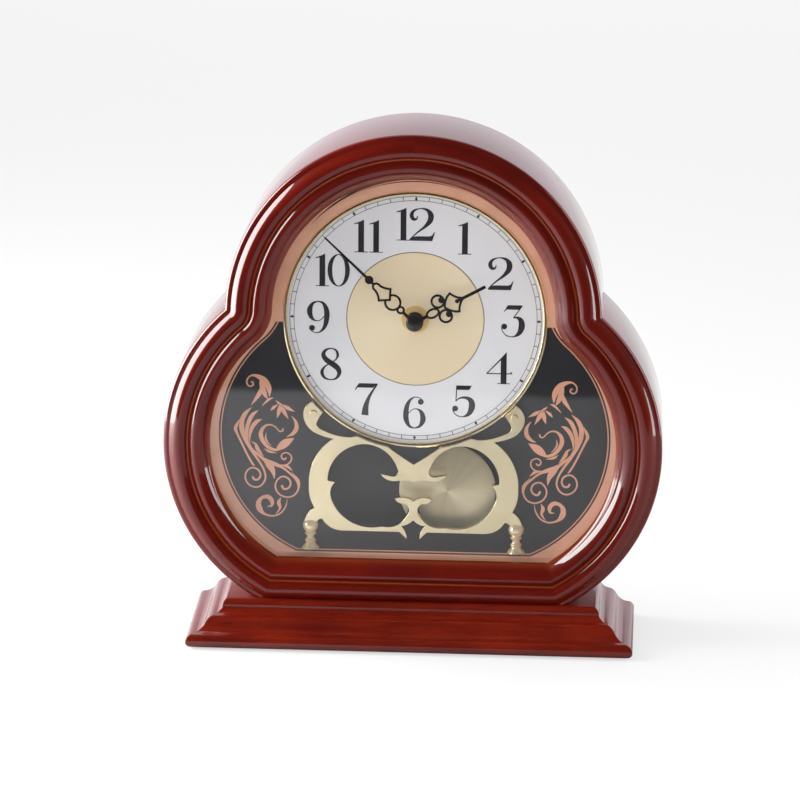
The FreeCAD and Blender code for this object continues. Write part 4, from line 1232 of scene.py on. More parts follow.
@dataclass
class PlinthWork:
    """Stepped moulding under the case, mitred at its two front corners."""

    half_width: float = 105.2
    front_y: float = -17.9
    rear_y: float = 41.5
    flare: float = 23.6
    low_z: float = 0.8
    high_z: float = 24.9
    edge_round: float = 0.35
    crease: float = 32.0
    arcs: tuple[tuple[Pair, Pair], ...] = (
        ((0.115, 0.95), (0.16, 0.81)), ((0.25, 0.705), (0.394, 0.655)),
        ((0.507, 0.583), (0.572, 0.486)), ((0.668, 0.385), (0.81, 0.325)), ((1.0, 0.19), (0.88, 0.0)))
    steps: int = 9

    def profile(self) -> Array:
        """Arcs through three points each, from the top down, as flare and height.

        The arc's centre is where the perpendicular bisectors of its two chords cross, and
        its points turn evenly from the first to the last.

        Returns:
            Rows of flare and height in millimetres.
        """
        rows = [np.array([[0.0, 1.0]])]
        last = np.array([0.0, 1.0])
        size = np.array([self.flare, self.high_z - self.low_z])
        for middle, end in self.arcs:
            a, b, c = last * size, np.array(middle) * size, np.array(end) * size
            system = 2 * np.array([b - a, c - a])
            centre = np.linalg.solve(system, [b @ b - a @ a, c @ c - a @ a])
            turns = [math.atan2(*(p - centre)[::-1]) for p in (a, b, c)]
            sweep = (turns[2] - turns[0]) % (2 * math.pi)
            if (turns[1] - turns[0]) % (2 * math.pi) > sweep:
                sweep -= 2 * math.pi
            turn = turns[0] + sweep * np.linspace(0, 1, self.steps)[1:]
            radius = np.linalg.norm(a - centre)
            curve = centre + radius * np.column_stack([np.cos(turn), np.sin(turn)])
            rows.append(curve / size)
            last = np.array(end)
        return np.vstack(rows) * size + (0.0, self.low_z)

    def build(self) -> None:
        """Carry the profile from the left rear round both mitres to the right rear."""
        profile = self.profile()
        flare, height = profile[:, 0], profile[:, 1]
        side = self.half_width + flare
        front = self.front_y - flare
        rear = np.full(len(profile), self.rear_y)
        corners = [(-side, rear), (-side, front), (side, front), (side, rear)]
        points = np.stack([np.column_stack([x, y, height]) for x, y in corners])
        count = len(profile)
        n = np.arange(count)
        faces = grid_faces(4, count, False, False).tolist()
        faces += [[0, count, 2 * count, 3 * count], [k * count + count - 1 for k in range(4)]]
        faces.append(n.tolist() + (3 * count + n[::-1]).tolist())
        shell = Shell()
        shell.add(points.reshape(-1, 3), faces)
        shell.finish("plinth_moulding", Dress(Body.CASE, "lacquered_wood", Finishes.PLINTH, ("plinth",),
                                              self.crease, self.edge_round))


# Dial and board


@dataclass(frozen=True)
class Digit:
    """One numeral about the middle of its foot, in millimetres.

    Plates are corners of x, z, strokes are knots of x, z and width, a ball ends a stroke, and
    ovals are the half axes of the outer and inner ellipse of an upright ring.
    """

    plates: tuple[Line, ...] = ()
    strokes: tuple[Line, ...] = ()
    ball: Pair | None = None
    closed: bool = False
    ovals: tuple[Pair, ...] = ()
    ball_radius: float = 1.7
    oval_sides: int = 72

    def upside_down(self, height: float) -> "Digit":
        """The same strokes and ball turned by half about the middle of the height."""
        strokes = tuple(tuple((-x, height - z, w) for x, z, w in part) for part in self.strokes)
        return Digit(strokes=strokes, ball=(-self.ball[0], height - self.ball[1]))

    def draw(self, shell: Shell, x: float, z: float, depth: Pair) -> None:
        """Add the numeral to a shell.

        Args:
            shell: The shell.
            x: Middle of its foot.
            z: Its foot.
            depth: Front and back of the print.
        """
        for corners in self.plates:
            shell.slab(np.array(corners) + (x, z), depth)
        for knots in self.strokes:
            shell.stroke(np.array(knots) + (x, z, 0.0), depth, self.closed)
        if self.ball:
            shell.disc((x + self.ball[0], z + self.ball[1]), self.ball_radius, depth)
        if self.ovals:
            middle = (x, z + self.ovals[0][1])
            outer, inner = (circle(self.oval_sides) * half + middle for half in self.ovals)
            shell.band(outer, inner, depth, True)


class Numerals:
    """Upright hour numerals of high contrast."""

    HEIGHT = 19.3
    DIGITS = {
        # Upright oval with heavy sides
        0: Digit(ovals=((6.4, 9.6), (3.7, 9.05))),
        # Stem with a slanted top, a flag and a thin foot
        1: Digit(plates=(
            ((1.65, 19.3), (1.65, 0.5), (3.8, 0.5), (3.8, 0.0), (-3.8, 0.0), (-3.8, 0.5), (-1.65, 0.5),
             (-1.65, 16.9), (-4.0, 16.5), (-4.0, 17.0), (-0.6, 18.2)),)),
        # Hook, bowl, diagonal and a heavy base bar
        2: Digit(plates=(
            ((-7.2, 0.0), (6.1, 0.0), (7.6, 5.2), (7.0, 5.2), (5.8, 3.2), (4.4, 2.7), (-2.6, 2.7),
             (-4.6, 2.4), (-6.6, 1.0)),),
           strokes=(
            ((-2.5, 14.6, 0.5), (-3.0, 12.9, 1.0), (-4.9, 12.8, 2.0), (-5.9, 15.0, 2.3),
             (-4.6, 17.6, 1.4), (-1.0, 19.0, 0.6), (2.8, 18.3, 1.6), (5.0, 15.6, 3.1), (4.7, 12.0, 3.0),
             (1.8, 8.4, 1.7), (-2.4, 5.0, 0.9), (-6.0, 1.6, 0.6), (-6.9, 0.5, 0.5)),)),
        # Flat top, thin diagonal and one full bowl with a ball
        3: Digit(plates=(
            ((-3.1, 19.1), (5.6, 19.1), (3.7, 16.5), (-3.6, 16.5), (-5.0, 15.0), (-5.4, 15.2),
             (-4.3, 16.8)),),
           strokes=(
            ((5.2, 18.8, 0.6), (2.8, 15.2, 0.6), (0.4, 11.7, 0.6)),
            ((0.3, 11.5, 0.5), (2.4, 11.8, 1.4), (4.6, 10.1, 3.0), (5.1, 6.4, 3.6), (3.6, 2.5, 2.5),
             (0.2, 0.4, 0.7), (-3.6, 1.1, 0.6), (-6.1, 4.0, 0.5), (-6.3, 6.4, 0.6)),),
           ball=(-4.9, 6.4)),
        # Stem, hairline diagonal and bar with a small wedge
        4: Digit(plates=(
            ((4.3, 19.3), (4.3, 0.5), (6.2, 0.5), (6.2, 0.0), (-1.0, 0.0), (-1.0, 0.5), (0.9, 0.5),
             (0.9, 14.6)),
            ((4.3, 19.3), (0.9, 14.2), (-6.5, 6.4), (-7.3, 6.4), (2.6, 17.3)),
            ((-7.4, 6.5), (-7.4, 5.9), (7.4, 5.9), (7.4, 7.3), (7.0, 7.3), (6.3, 6.5)),)),
        # Flag, thin stem and one full bowl with a ball
        5: Digit(plates=(
            ((-4.1, 19.1), (4.9, 19.1), (3.5, 16.5), (-4.1, 16.5)),
            ((-4.1, 19.1), (-3.5, 19.1), (-3.9, 9.6), (-4.5, 9.6)),),
           strokes=(
            ((-4.3, 9.6, 0.5), (-2.0, 11.5, 0.9), (1.6, 11.8, 1.7), (4.5, 9.9, 3.1), (5.0, 6.2, 3.6),
             (3.3, 2.2, 2.4), (0.0, 0.4, 0.7), (-3.4, 1.0, 0.6), (-5.7, 3.4, 0.5), (-5.9, 5.2, 0.6)),),
           ball=(-4.6, 5.2)),
        # Flat top with a flick, and a stem that widens to its foot
        7: Digit(plates=(
            ((-4.2, 19.1), (6.8, 19.1), (3.9, 16.5), (-5.2, 16.5), (-6.3, 14.8), (-6.7, 15.0),
             (-5.9, 16.8)),),
           strokes=(
            ((6.3, 18.6, 0.7), (3.6, 14.6, 1.2), (1.2, 10.0, 2.0), (-0.3, 5.0, 3.2), (-0.8, 0.0, 4.2)),)),
        # One closed line with a heavy diagonal
        8: Digit(strokes=(
            ((0.0, 19.0, 0.7), (-3.0, 18.0, 1.5), (-4.4, 15.3, 2.4), (-2.8, 12.3, 3.0),
             (0.4, 10.0, 3.3), (3.6, 7.6, 3.2), (4.8, 4.6, 2.4), (3.2, 1.4, 1.3), (0.0, 0.35, 0.7),
             (-3.6, 1.4, 1.4), (-5.2, 4.6, 2.0), (-3.8, 7.8, 1.1), (-0.4, 10.2, 0.6), (2.7, 12.4, 0.8),
             (3.9, 15.2, 1.5), (2.8, 18.0, 1.2)),),
           closed=True),
        # Bowl, long right side and a ball; the six is the same turned by half
        9: Digit(strokes=(
            ((0.0, 19.0, 0.6), (3.0, 17.8, 1.6), (4.9, 13.6, 3.0), (4.9, 8.4, 3.0), (3.6, 3.6, 2.0),
             (0.8, 0.6, 0.8), (-2.2, 0.5, 0.5), (-4.3, 2.0, 0.5), (-4.7, 3.3, 0.6)),
            ((0.0, 19.0, 0.6), (-3.0, 17.7, 1.6), (-4.8, 14.0, 3.1), (-4.1, 9.8, 2.4), (-1.6, 7.5, 0.8),
             (1.2, 7.8, 0.5), (3.6, 10.2, 0.5)),),
           ball=(-3.5, 3.1)),
    }
    DIGITS[6] = DIGITS[9].upside_down(HEIGHT)
    PAIRS = {10: ((1, -5.1), (0, 4.3)), 11: ((1, -3.4), (1, 5.2)), 12: ((1, -7.2), (2, 3.3))}

    def draw(self, centre: Pair, radius: float, depth: Pair) -> Shell:
        """All twelve hours round a circle.

        Args:
            centre: Dial centre as x, z.
            radius: Distance of the numerals' middles from it.
            depth: Front and back of the print.

        Returns:
            The shell that holds them.
        """
        shell = Shell()
        for hour in range(1, 13):
            turn = math.radians(30 * hour)
            x = centre[0] + radius * math.sin(turn)
            z = centre[1] + radius * math.cos(turn) - self.HEIGHT / 2
            for digit, offset in self.PAIRS.get(hour, ((hour, 0.0),)):
                self.DIGITS[digit].draw(shell, x + offset, z, depth)
        return shell


@dataclass(frozen=True)
class InkLayer:
    """Thickness of print on a surface that faces the front."""

    height: float = 0.06
    root: float = 0.03

    def span(self, surface_y: float, lift: float = 0.0) -> Pair:
        """Front and back of the print."""
        return surface_y - self.height - lift, surface_y + self.root


@dataclass
class DialWork:
    """Board with its print, dial plate with its print, gilt ring and centre disc."""

    ink: InkLayer = InkLayer()
    centre: Pair = (0.0, 187.0)
    plate_y: float = 8.5
    board_y: float = 5.5
    numeral_radius: float = 56.0
    track: Pair = (69.9, 72.3)
    track_line: float = 0.32
    tick_width: float = 0.42
    tick_lift: float = 0.01
    track_sides: int = 360
    lozenge: Line = ((0.0, 69.55), (0.85, 70.9), (0.0, 72.4), (-0.85, 70.9))
    disc_line_reach: Pair = (0.05, 0.55)
    bead_width: float = 2.4
    bead_depth: float = 0.7
    ring_step: float = 0.7
    ring_sides: int = 256
    border: Pair = (23.95, 30.0)
    fine_border: Pair = (31.0, 31.7)
    fine_lift: float = 0.01
    print_foot: float = 16.3
    print_low: float = 45.5
    crown: Pair = (75.2, 81.6)
    crown_foot: float = 184.5
    crown_lift: float = 0.02

    def minute_track(self) -> None:
        """Two fine circles with a tick for each minute and a lozenge for each hour."""
        depth, tick_depth = (self.ink.span(self.plate_y, lift) for lift in (0.0, self.tick_lift))
        lines, marks = Shell(), Shell()
        low, high = self.track
        half = self.track_line / 2
        for radius in self.track:
            lines.ring(self.centre, radius - half, radius + half, depth, self.track_sides)
        side = self.tick_width / 2
        tick = np.array([(-side, low), (side, low), (side, high), (-side, high)])
        for minute in range(60):
            turn = math.radians(6 * minute)
            right = np.array([math.cos(turn), -math.sin(turn)])
            out = np.array([math.sin(turn), math.cos(turn)])
            shell, flat = (lines, tick) if minute % 5 else (marks, np.array(self.lozenge))
            shell.slab(flat[:, :1] * right + flat[:, 1:] * out + self.centre, tick_depth)
        lines.finish("minute_track", Dress(Body.CASE, "black_hands", Finishes.FINE_INK))
        marks.finish("hour_marks", Dress(Body.CASE, "black_hands", Finishes.INK))

    def disc_line(self) -> None:
        """Fine dark line round the centre disc."""
        low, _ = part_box("dial_centre_disc")
        inner, outer = (reach - low.x / MM for reach in self.disc_line_reach)
        shell = Shell()
        shell.ring(self.centre, inner, outer, self.ink.span(self.plate_y))
        shell.finish("disc_outline", Dress(Body.CASE, "black_hands", Finishes.DISC_LINE))

    def numerals(self) -> None:
        """The twelve hours."""
        shell = Numerals().draw(self.centre, self.numeral_radius, self.ink.span(self.plate_y))
        shell.finish("hour_numerals", Dress(Body.CASE, "black_hands", Finishes.INK))

    def gilt_ring(self) -> None:
        """Bead-shaped ring round the dial, on a short sleeve.

        The bead's front is half an ellipse between the inner and outer radius.
        """
        low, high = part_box("dial_ring")
        outer, front, back = high.x / MM, low.y / MM, high.y / MM
        half, step = self.bead_width / 2, outer - self.bead_width + self.ring_step
        turn = np.linspace(0, math.pi, 17)
        bead = np.column_stack([outer - half - half * np.cos(turn),
                                front + self.bead_depth * (1 - np.sin(turn))])
        rows = np.vstack([[(outer - self.bead_width, back)], bead,
                          [(outer, self.board_y), (step, self.board_y), (step, back)]])
        shell = Shell()
        shell.turned(rows, *self.centre, self.ring_sides)
        shell.finish("dial_bezel", Dress(Body.CASE, "polished_gold", Finishes.GOLD, ("dial_ring",)))

    def border_print(self) -> None:
        """Copper crown behind the dial ring, copper band along the sight edge, and a fine line.

        The band and the line follow the trefoil, on a lower foot, at their insets.
        """
        shell = Shell()
        shell.ring(self.centre, *self.crown, self.ink.span(self.board_y, self.crown_lift))
        shell.finish("copper_crown", Dress(Body.CASE, "copper_trim", Finishes.COPPER),
                     above(self.crown_foot))
        outline = Trefoil(foot_z=self.print_foot)
        for name, (first, last), finish, lift in (
                ("copper_border", self.border, Finishes.COPPER, 0.0),
                ("fine_border", self.fine_border, Finishes.ROSE, self.fine_lift)):
            y0, y1 = self.ink.span(self.board_y, lift)
            profile = np.array([(first, y0), (last, y0), (last, y1), (first, y1)])
            outline.sweep(name, profile, Dress(Body.CASE, "copper_trim", finish), above(self.print_low))

    def build(self) -> None:
        """Make and dress every piece of the dial and its board."""
        self.minute_track()
        self.disc_line()
        self.numerals()
        self.gilt_ring()
        self.border_print()
        keep_nodes(Finishes.FIELD, "dial_board")
        keep_nodes(Finishes.DIAL, "dial_plate")
        keep_nodes(Finishes.DISC, "dial_centre_disc")
        keep_nodes(Finishes.STEEL, "dial_clips")


@dataclass
class ScrollWork:
    """Printed leaf scrolls at each side of the dial, as pen strokes over a fine grid.

    Each stroke is rows of grid column, grid row from the top, and full width in grid steps.
    """

    ink: InkLayer = InkLayer()
    column: float = 0.0942
    row: float = 0.0979
    pen: float = 0.096
    left_x: float = -108.5
    top_z: float = 156.8
    right_shift: float = -3.5
    board_y: float = 5.5
    lift: float = 0.0005
    strokes: tuple[Line, ...] = (
        ((262, 178, 2), (258, 125, 32), (228, 76, 36), (186, 52, 22), (150, 50, 10), (126, 72, 9),
         (124, 100, 9), (142, 116, 9), (162, 106, 10), (158, 88, 9), (148, 92, 8)),
        ((286, 184, 2), (262, 192, 14), (236, 214, 10), (216, 236, 2)),
        ((212, 108, 2), (204, 150, 26), (178, 192, 18), (148, 232, 2)),
        ((322, 226, 4), (320, 265, 24), (308, 308, 2)),
        ((330, 226, 4), (348, 262, 26), (378, 312, 2)),
        ((340, 224, 4), (374, 244, 22), (416, 266, 2)),
        ((312, 224, 4), (286, 244, 18), (268, 264, 2)),
        ((300, 200, 2), (318, 214, 12), (340, 226, 4)),
        ((398, 292, 2), (424, 330, 18), (426, 372, 26), (402, 404, 20), (366, 422, 2)),
        ((346, 370, 10), (342, 386, 9), (322, 388, 8), (304, 368, 8), (278, 352, 9), (246, 352, 12),
         (218, 376, 20), (208, 412, 26), (222, 452, 24), (254, 488, 20), (296, 504, 16), (332, 500, 6)),
        ((300, 506, 4), (330, 484, 40), (366, 456, 46), (414, 428, 2)),
        ((242, 400, 2), (238, 432, 10), (252, 460, 8), (274, 480, 2)),
        ((230, 496, 2), (258, 514, 14), (306, 524, 2)),
        ((284, 580, 4), (330, 598, 8), (372, 592, 9), (396, 565, 9), (392, 535, 8), (365, 520, 8),
         (340, 530, 8), (336, 550, 9), (352, 562, 10), (366, 550, 8)),
        ((78, 318, 2), (62, 350, 16), (52, 380, 20), (64, 412, 14), (92, 470, 12), (126, 540, 12),
         (158, 594, 12), (172, 606, 2)),
        ((152, 245, 2), (112, 285, 24), (92, 330, 28), (92, 380, 30), (112, 440, 24), (150, 510, 16),
         (196, 575, 14), (228, 632, 12), (236, 680, 11), (214, 722, 10), (176, 738, 10), (134, 722, 10),
         (112, 684, 10), (120, 642, 10), (152, 618, 10), (190, 628, 11), (206, 660, 11), (192, 688, 12),
         (168, 690, 13), (156, 672, 14)),
        ((194, 262, 2), (158, 290, 22), (136, 330, 24), (122, 380, 22), (122, 430, 14), (132, 462, 2)),
        ((216, 318, 2), (186, 330, 22), (158, 362, 24), (142, 405, 18), (138, 445, 8), (142, 472, 2)),
        ((150, 455, 2), (176, 472, 14), (188, 500, 22), (226, 546, 2)),
        ((140, 470, 2), (160, 510, 14), (200, 540, 18), (232, 560, 2)),
        ((196, 548, 4), (236, 570, 26), (262, 600, 42), (284, 640, 26), (292, 684, 2)),
        ((230, 562, 8), (290, 590, 24), (340, 612, 14), (390, 650, 12), (428, 690, 12), (440, 738, 11),
         (416, 780, 10), (370, 796, 10), (322, 778, 10), (298, 738, 10), (306, 696, 10), (340, 668, 10),
         (378, 680, 11), (392, 712, 11), (376, 740, 12), (350, 744, 13), (336, 722, 14)),
        ((338, 600, 2), (372, 606, 18), (404, 632, 2)),
        ((398, 640, 2), (440, 690, 12), (448, 736, 2)),
        ((372, 806, 2), (362, 850, 8), (334, 892, 9), (286, 914, 10), (232, 904, 14), (200, 872, 34),
         (194, 832, 30), (216, 802, 20), (252, 796, 26), (276, 820, 26), (274, 850, 14), (248, 856, 4)),
        ((332, 798, 2), (318, 830, 22), (326, 864, 14), (300, 904, 2)),
        ((205, 60, 4), (216, 110, 30), (232, 160, 26), (250, 190, 4)),
    )

    def build(self) -> None:
        """Draw the left group and, with x turned round and shifted, the right one.

        A knot lies at left_x plus its column times the column step, and at top_z less its
        row times the row step. Each stroke is a hair prouder than the one before it.
        """
        shell = Shell()
        for number, knots in enumerate(self.strokes):
            column, row, width = np.array(knots, float).T
            x, z = self.left_x + self.column * column, self.top_z - self.row * row
            for place in (x, self.right_shift - x):
                shell.stroke(np.column_stack([place, z, self.pen * width]),
                             self.ink.span(self.board_y, number * self.lift))
        shell.finish("board_scrolls", Dress(Body.CASE, "copper_trim", Finishes.ROSE))


@dataclass
class Glazing:
    """Front glass and the copper-coloured spacer behind it."""

    outline: Trefoil = Trefoil()
    insets: Pair = (22.0, 24.0)
    depths: Pair = (-8.2, 5.5)

    def build(self) -> None:
        """The spacer is a plain strip bent round the outline."""
        (first, last), (front, back) = self.insets, self.depths
        profile = np.array([(first, front), (last, front), (last, back), (first, back)])
        self.outline.sweep("copper_reveal", profile,
                           Dress(Body.CASE, "copper_trim", Finishes.COPPER, ("glass_spacer",)))
        keep_nodes(Finishes.GLASS, "front_glass")


# Ornament, hands and pendulum


@dataclass
class OrnamentWork:
    """Pierced gilt ornament and its two turned feet."""

    foot_x: float = 59.8
    foot_y: float = 3.5
    board_y: float = 5.5
    low_z: float = 49.5
    high_z: float = 66.8
    edge_round: float = 0.45
    sides: int = 48
    foot_rows: Line = (
        (0.0, 1.0), (1.8, 0.99), (3.2, 0.96), (4.2, 0.90), (4.6, 0.83), (4.6, 0.75), (4.2, 0.67),
        (3.3, 0.60), (2.6, 0.565), (3.3, 0.53), (3.6, 0.50), (3.3, 0.47), (2.5, 0.435), (2.3, 0.38),
        (2.5, 0.325), (3.3, 0.295), (3.5, 0.265), (3.3, 0.235), (2.8, 0.205), (3.1, 0.15),
        (4.0, 0.085), (5.0, 0.03), (5.2, 0.0), (0.0, 0.0))

    def feet(self) -> None:
        """Turned feet, cut flat where they meet the board.

        Each is a knob, a waist with two rings and a spreading toe, as rows of radius and
        share of the height.
        """
        profile = np.array([(r, self.low_z + share * (self.high_z - self.low_z))
                            for r, share in self.foot_rows])
        shell = Shell()
        for side in (-1, 1):
            shell.turned(profile, side * self.foot_x, 0.0, self.sides, self.foot_y)
        shell.finish("turned_feet",
                     Dress(Body.CASE, "polished_gold", Finishes.GILT, ("ornament_feet",), 50.0),
                     ((0.0, self.board_y, 0.0), (0.0, -1.0, 0.0)))

    def build(self) -> None:
        """Round the edges of the pierced plate and turn its feet."""
        softened("ornament_panel", "pierced_ornament",
                 Dress(Body.CASE, "polished_gold", Finishes.GOLD, (), 40.0, self.edge_round))
        self.feet()


@dataclass
class HandWork:
    """Hands, cap and nut."""

    edge_round: float = 0.08
    crease: float = 50.0
    cap_foot: float = 0.96
    sides: int = 48
    dial_z: float = 187.0
    nut_bore: float = 4.95
    nut_sides: int = 64
    nut_rows: Line = ((1.0, 0.0), (1.0, 0.3), (0.97, 0.4), (0.83, 0.45), (0.79, 0.6), (0.78, 0.9),
                      (0.74, 1.0))

    def cap(self) -> None:
        """Domed cap: a quarter ellipse from the rim to the middle."""
        low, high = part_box("hand_cap")
        radius, front, back = high.x / MM, low.y / MM, high.y / MM
        turn = np.linspace(math.pi / 2, 0, 12)
        dome = np.column_stack([radius * np.cos(turn), back - (back - front) * np.sin(turn)])
        dome[0, 0] = 0.0
        rows = np.vstack([dome, [(radius * self.cap_foot, back), (0.0, back)]])
        shell = Shell()
        shell.turned(rows, (low.x + high.x) / 2 / MM, (low.z + high.z) / 2 / MM, self.sides)
        shell.finish("hand_button",
                     Dress(Body.MINUTE, "black_hands", Finishes.BLACK, ("hand_cap",), self.crease))

    def nut(self) -> None:
        """Round brass nut with a stepped flange, as shares of its radius and depth."""
        low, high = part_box("mounting_nut")
        radius, front, back = high.x / MM, low.y / MM, high.y / MM
        rows = np.array([(self.nut_bore, back),
                         *((radius * r, back - (back - front) * d) for r, d in self.nut_rows),
                         (self.nut_bore, front)])
        shell = Shell()
        shell.turned(rows, 0.0, self.dial_z, self.nut_sides)
        shell.finish("boss_nut", Dress(Body.CASE, "polished_gold", Finishes.NUT, ("mounting_nut",)))

    def build(self) -> None:
        """Make the cap and nut, and round the hands' edges."""
        for node, name, body in (("minute_hand", "long_hand", Body.MINUTE),
                                 ("hour_hand", "short_hand", Body.HOUR)):
            softened(node, name, Dress(body, "black_hands", Finishes.BLACK, (), self.crease,
                                       self.edge_round))
        self.cap()
        self.nut()


@dataclass
class PendulumWork:
    """Pendulum bob, and the dark tray that it swings in."""

    rim_round: float = 0.45
    sides: int = 160

    def bob(self) -> None:
        """Shallow dish with a rolled rim.

        The front falls from the middle, by the square of the radius share, as far as the
        rim's roll begins.
        """
        low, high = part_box("pendulum_bob")
        front, back, r = low.y / MM, high.y / MM, self.rim_round
        share = np.linspace(0, 1, 25)
        reach = (high.x - low.x) / 2 / MM - r
        dome = np.column_stack([share * reach, front + (back - front - 2 * r) * share ** 2])
        turn = np.linspace(-math.pi / 2, math.pi / 2, 9)[1:]
        rim = np.column_stack([reach + r * np.cos(turn), back - r + r * np.sin(turn)])
        shell = Shell()
        shell.turned(np.vstack([dome, rim, [(0.0, back)]]),
                     (low.x + high.x) / 2 / MM, (low.z + high.z) / 2 / MM, self.sides)
        shell.finish("bob_disc", Dress(Body.PENDULUM, "polished_gold", Finishes.BOB, ("pendulum_bob",)))

    def build(self) -> None:
        """Make the bob and dress the rest."""
        self.bob()
        keep_nodes(Finishes.STEEL, "pendulum_rod", "pendulum_pin", "pendulum_magnet")
        keep_nodes(Finishes.PLASTIC, "pendulum_hanger", "pendulum_tray")
        keep_nodes(Finishes.BRASS, "bob_nut")


# Movement and back


class MovementWork:
    """Hidden movement: its CAD nodes, each with its own finish."""

    def build(self) -> None:
        """Dress shells, wheels, coils, board and battery."""
        keep_nodes(Finishes.PLASTIC, "movement_case", "movement_cover", "train_bridge", "setting_knob")
        keep_nodes(Finishes.ACETAL, "hour_wheel", "motion_wheel", "intermediate_wheel",
                   "seconds_wheel", "third_wheel", "centre_wheel", "cannon_pinion", "rotor",
                   "setting_shaft")
        keep_nodes(Finishes.STEEL, "stator", "cover_screws", "battery_contacts")
        keep_nodes(Finishes.WIRE, "motor_coil", "drive_coil")
        keep_nodes(Finishes.MASK, "circuit_board")
        keep_nodes(Finishes.JACKET, "battery")


@dataclass
class BackWork:
    """Back panel, door, hinges, button and screws."""

    crease: float = 40.0
    board_round: float = 0.5
    metal_round: float = 0.15

    def build(self) -> None:
        """Round the edges of what is seen from behind and dress the rest."""
        board = (Finishes.BOARD, self.board_round)
        brass = (Finishes.BRASS, self.metal_round)
        for node, name, body, (finish, soft_edge) in (
                ("back_panel", "rear_board", Body.CASE, board),
                ("back_door", "rear_door", Body.DOOR, board),
                ("turn_button", "door_button", Body.BUTTON, brass),
                ("hinge_fixed_leaves", "hinge_plates", Body.CASE, brass),
                ("hinge_door_leaves", "hinge_door_plates", Body.DOOR, brass)):
            softened(node, name, Dress(body, finish.name, finish, (), self.crease, soft_edge))
        keep_nodes(Finishes.STEEL, "hinge_pins", "button_screw", "panel_screws")


# Studio


@dataclass(frozen=True)
class Lamp:
    """One soft lamp: places in millimetres, power in watts."""

    name: str
    place: Point
    aim: Point
    width: float
    height: float
    power: float
    shape: str = "RECTANGLE"
    mirrored: bool = True

    def build(self) -> None:
        """Add the lamp, turned to its aim and hidden from the camera."""
        data = bpy.data.lights.new(self.name, "AREA")
        data.shape = self.shape
        data.size, data.size_y = self.width * MM, self.height * MM
        data.energy = self.power
        lamp = placed(self.name, data)
        place, aim = Vector(self.place) * MM, Vector(self.aim) * MM
        lamp.location = place
        lamp.rotation_euler = (aim - place).to_track_quat("-Z", "Y").to_euler()
        lamp.visible_camera = False
        lamp.visible_glossy = self.mirrored


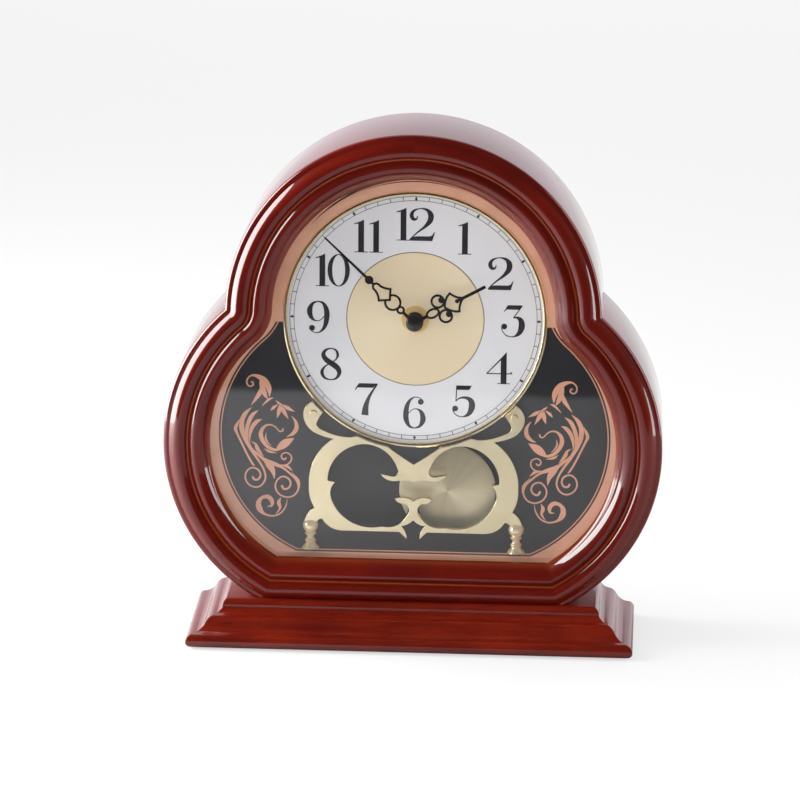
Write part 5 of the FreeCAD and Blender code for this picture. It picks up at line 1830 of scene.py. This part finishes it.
@dataclass
class Studio:
    """Camera of the photograph, soft lamps, pale floor and white surround."""

    azimuth: float = 3.33
    elevation: float = 16.29
    roll: float = 0.39
    distance: float = 2620.7
    focal: float = 4582.6
    image_width: float = 800.0
    sensor: float = 36.0
    aim: Point = (-7.18, -14.5, 145.12)
    white: Colour = (1.0, 1.0, 1.0)
    sky_dark: Colour = (0.02, 0.02, 0.022)
    sky_pale: Colour = (0.98, 0.94, 1.0)
    sky_plain: Colour = (0.88, 0.88, 0.90)
    floor_half: float = 4000.0
    floor_plain: Colour = (0.60, 0.60, 0.605)
    # Painted light: for mirrors the floor is paler on the left, where the left softbox lights it, and
    # dimmer on the right
    floor_left_painted_lit: Colour = (0.98, 0.94, 0.97)
    floor_right_painted_dim: Colour = (0.33, 0.33, 0.335)
    floor_dark: Colour = (0.03, 0.03, 0.035)
    floor_lit: Pair = (0.6, 0.9)
    pale_reach: float = 515.0
    reach_edge: float = 10.0
    pale_turn: Pair = (-0.75, 0.15)
    lit_turn: Pair = (0.04, 0.20)
    sky_turn: Pair = (-0.05, 0.45)
    sky_skew: float = 0.3
    lamps: tuple[Lamp, ...] = (
        Lamp("left_softbox", (-850.0, 20.0, 130.0), (0.0, 20.0, 130.0), 860.0, 1700.0, 54.0, "ELLIPSE"),
        Lamp("right_softbox", (850.0, 0.0, 130.0), (0.0, 0.0, 130.0), 300.0, 1500.0, 8.0, "ELLIPSE"),
        Lamp("front_fill", (0.0, -1800.0, 800.0), (0.0, 0.0, 150.0), 1200.0, 900.0, 6.0, mirrored=False),
        Lamp("behind", (0.0, 2600.0, 950.0), (0.0, 0.0, 150.0), 3400.0, 1500.0, 20.0, mirrored=False),
    )

    def camera(self) -> None:
        """Place the camera by its angles round the aim, with a small roll."""
        a, e, r = (math.radians(v) for v in (self.azimuth, self.elevation, self.roll))
        back = Vector((math.sin(a) * math.cos(e), -math.cos(a) * math.cos(e), math.sin(e)))
        right = Vector((math.cos(a), math.sin(a), 0.0))
        up = back.cross(right)
        turned_right = right * math.cos(r) + up * math.sin(r)
        turned_up = up * math.cos(r) - right * math.sin(r)
        data = bpy.data.cameras.new("photo_camera")
        data.sensor_width = self.sensor
        data.lens = self.sensor * self.focal / self.image_width
        data.clip_start, data.clip_end = 0.1, 50.0
        camera = placed("photo_camera", data)
        place = Vector(self.aim) * MM + back * (self.distance * MM)
        turn = Matrix((turned_right, turned_up, back)).transposed()
        camera.matrix_world = Matrix.Translation(place) @ turn.to_4x4()
        bpy.context.scene.camera = camera

    def surround(self) -> None:
        """White for the camera and for mirrors turned to the back; dim towards the front."""
        world = bpy.data.worlds.new("surround")
        bpy.context.scene.world = world
        world.use_nodes = True
        graph = Graph(world.node_tree)
        mirrored = graph.ray("Is Glossy Ray").larger(graph.ray("Is Transmission Ray"))
        across, toward_back, _ = graph.axes("Generated")
        behind = (toward_back - across * self.sky_skew).step(*self.sky_turn)
        shade = graph.blend(behind, self.sky_dark, self.sky_pale)
        plain = graph.blend(mirrored, self.sky_plain, shade)
        colour = graph.blend(graph.ray("Is Camera Ray"), plain, self.white)
        background = graph.node("ShaderNodeBackground", None, {"Color": colour, "Strength": 1.0})
        graph.node("ShaderNodeOutputWorld", None, {"Surface": background.outputs[0]})

    def floor_shade(self, graph: Graph) -> bpy.types.NodeSocket:
        """Matt floor, partly lit of itself for the camera and, behind the clock, for mirrors.

        Mirrors see it pale as far as pale_reach in front, paler to the left by painted light of the left
        softbox, and dark beyond.

        Args:
            graph: The material's nodes.

        Returns:
            The mixed shader's output.
        """
        mirrored = graph.ray("Is Glossy Ray")
        x, y, _ = graph.axes()
        far = 1.0 - y.step(-(self.pale_reach + self.reach_edge) * MM,
                           -(self.pale_reach - self.reach_edge) * MM)
        pale = graph.blend(x.step(*self.pale_turn), self.floor_left_painted_lit, self.floor_right_painted_dim)
        near = graph.blend(far, pale, self.floor_dark)
        colour = graph.blend(mirrored, self.floor_plain, near)
        matt = graph.node("ShaderNodeBsdfDiffuse", None, {"Color": colour})
        lit = graph.node("ShaderNodeEmission", None, {"Color": self.white, "Strength": 1.0})
        seen, reflected = self.floor_lit
        share = graph.ray("Is Camera Ray") * seen + mirrored * y.step(*self.lit_turn) * reflected
        return graph.node("ShaderNodeMixShader", None,
                          {0: share, 1: matt.outputs[0], 2: lit.outputs[0]}).outputs[0]

    def floor(self) -> None:
        """Wide square floor under the clock."""
        corners = np.array([(-1, -1, 0), (1, -1, 0), (1, 1, 0), (-1, 1, 0)]) * self.floor_half
        shell = Shell()
        shell.add(corners, [(0, 1, 2, 3)])
        piece = shell.mesh("floor")
        piece.data.materials.append(material_of("pale_floor", self.floor_shade))

    def build(self) -> None:
        """Set the view transform and make everything round the clock."""
        bpy.context.scene.view_settings.view_transform = "Standard"
        self.camera()
        self.surround()
        self.floor()
        for lamp in self.lamps:
            lamp.build()


def main() -> None:
    """Build the clock piece by piece, then its studio."""
    logging.basicConfig(level=logging.INFO, format="%(name)s %(message)s")
    for work in (CaseWork(), Glazing(), DialWork(), ScrollWork(), OrnamentWork(), HandWork(),
                 PendulumWork(), MovementWork(), BackWork(), Studio()):
        work.build()


if __name__ == "__main__":
    main()
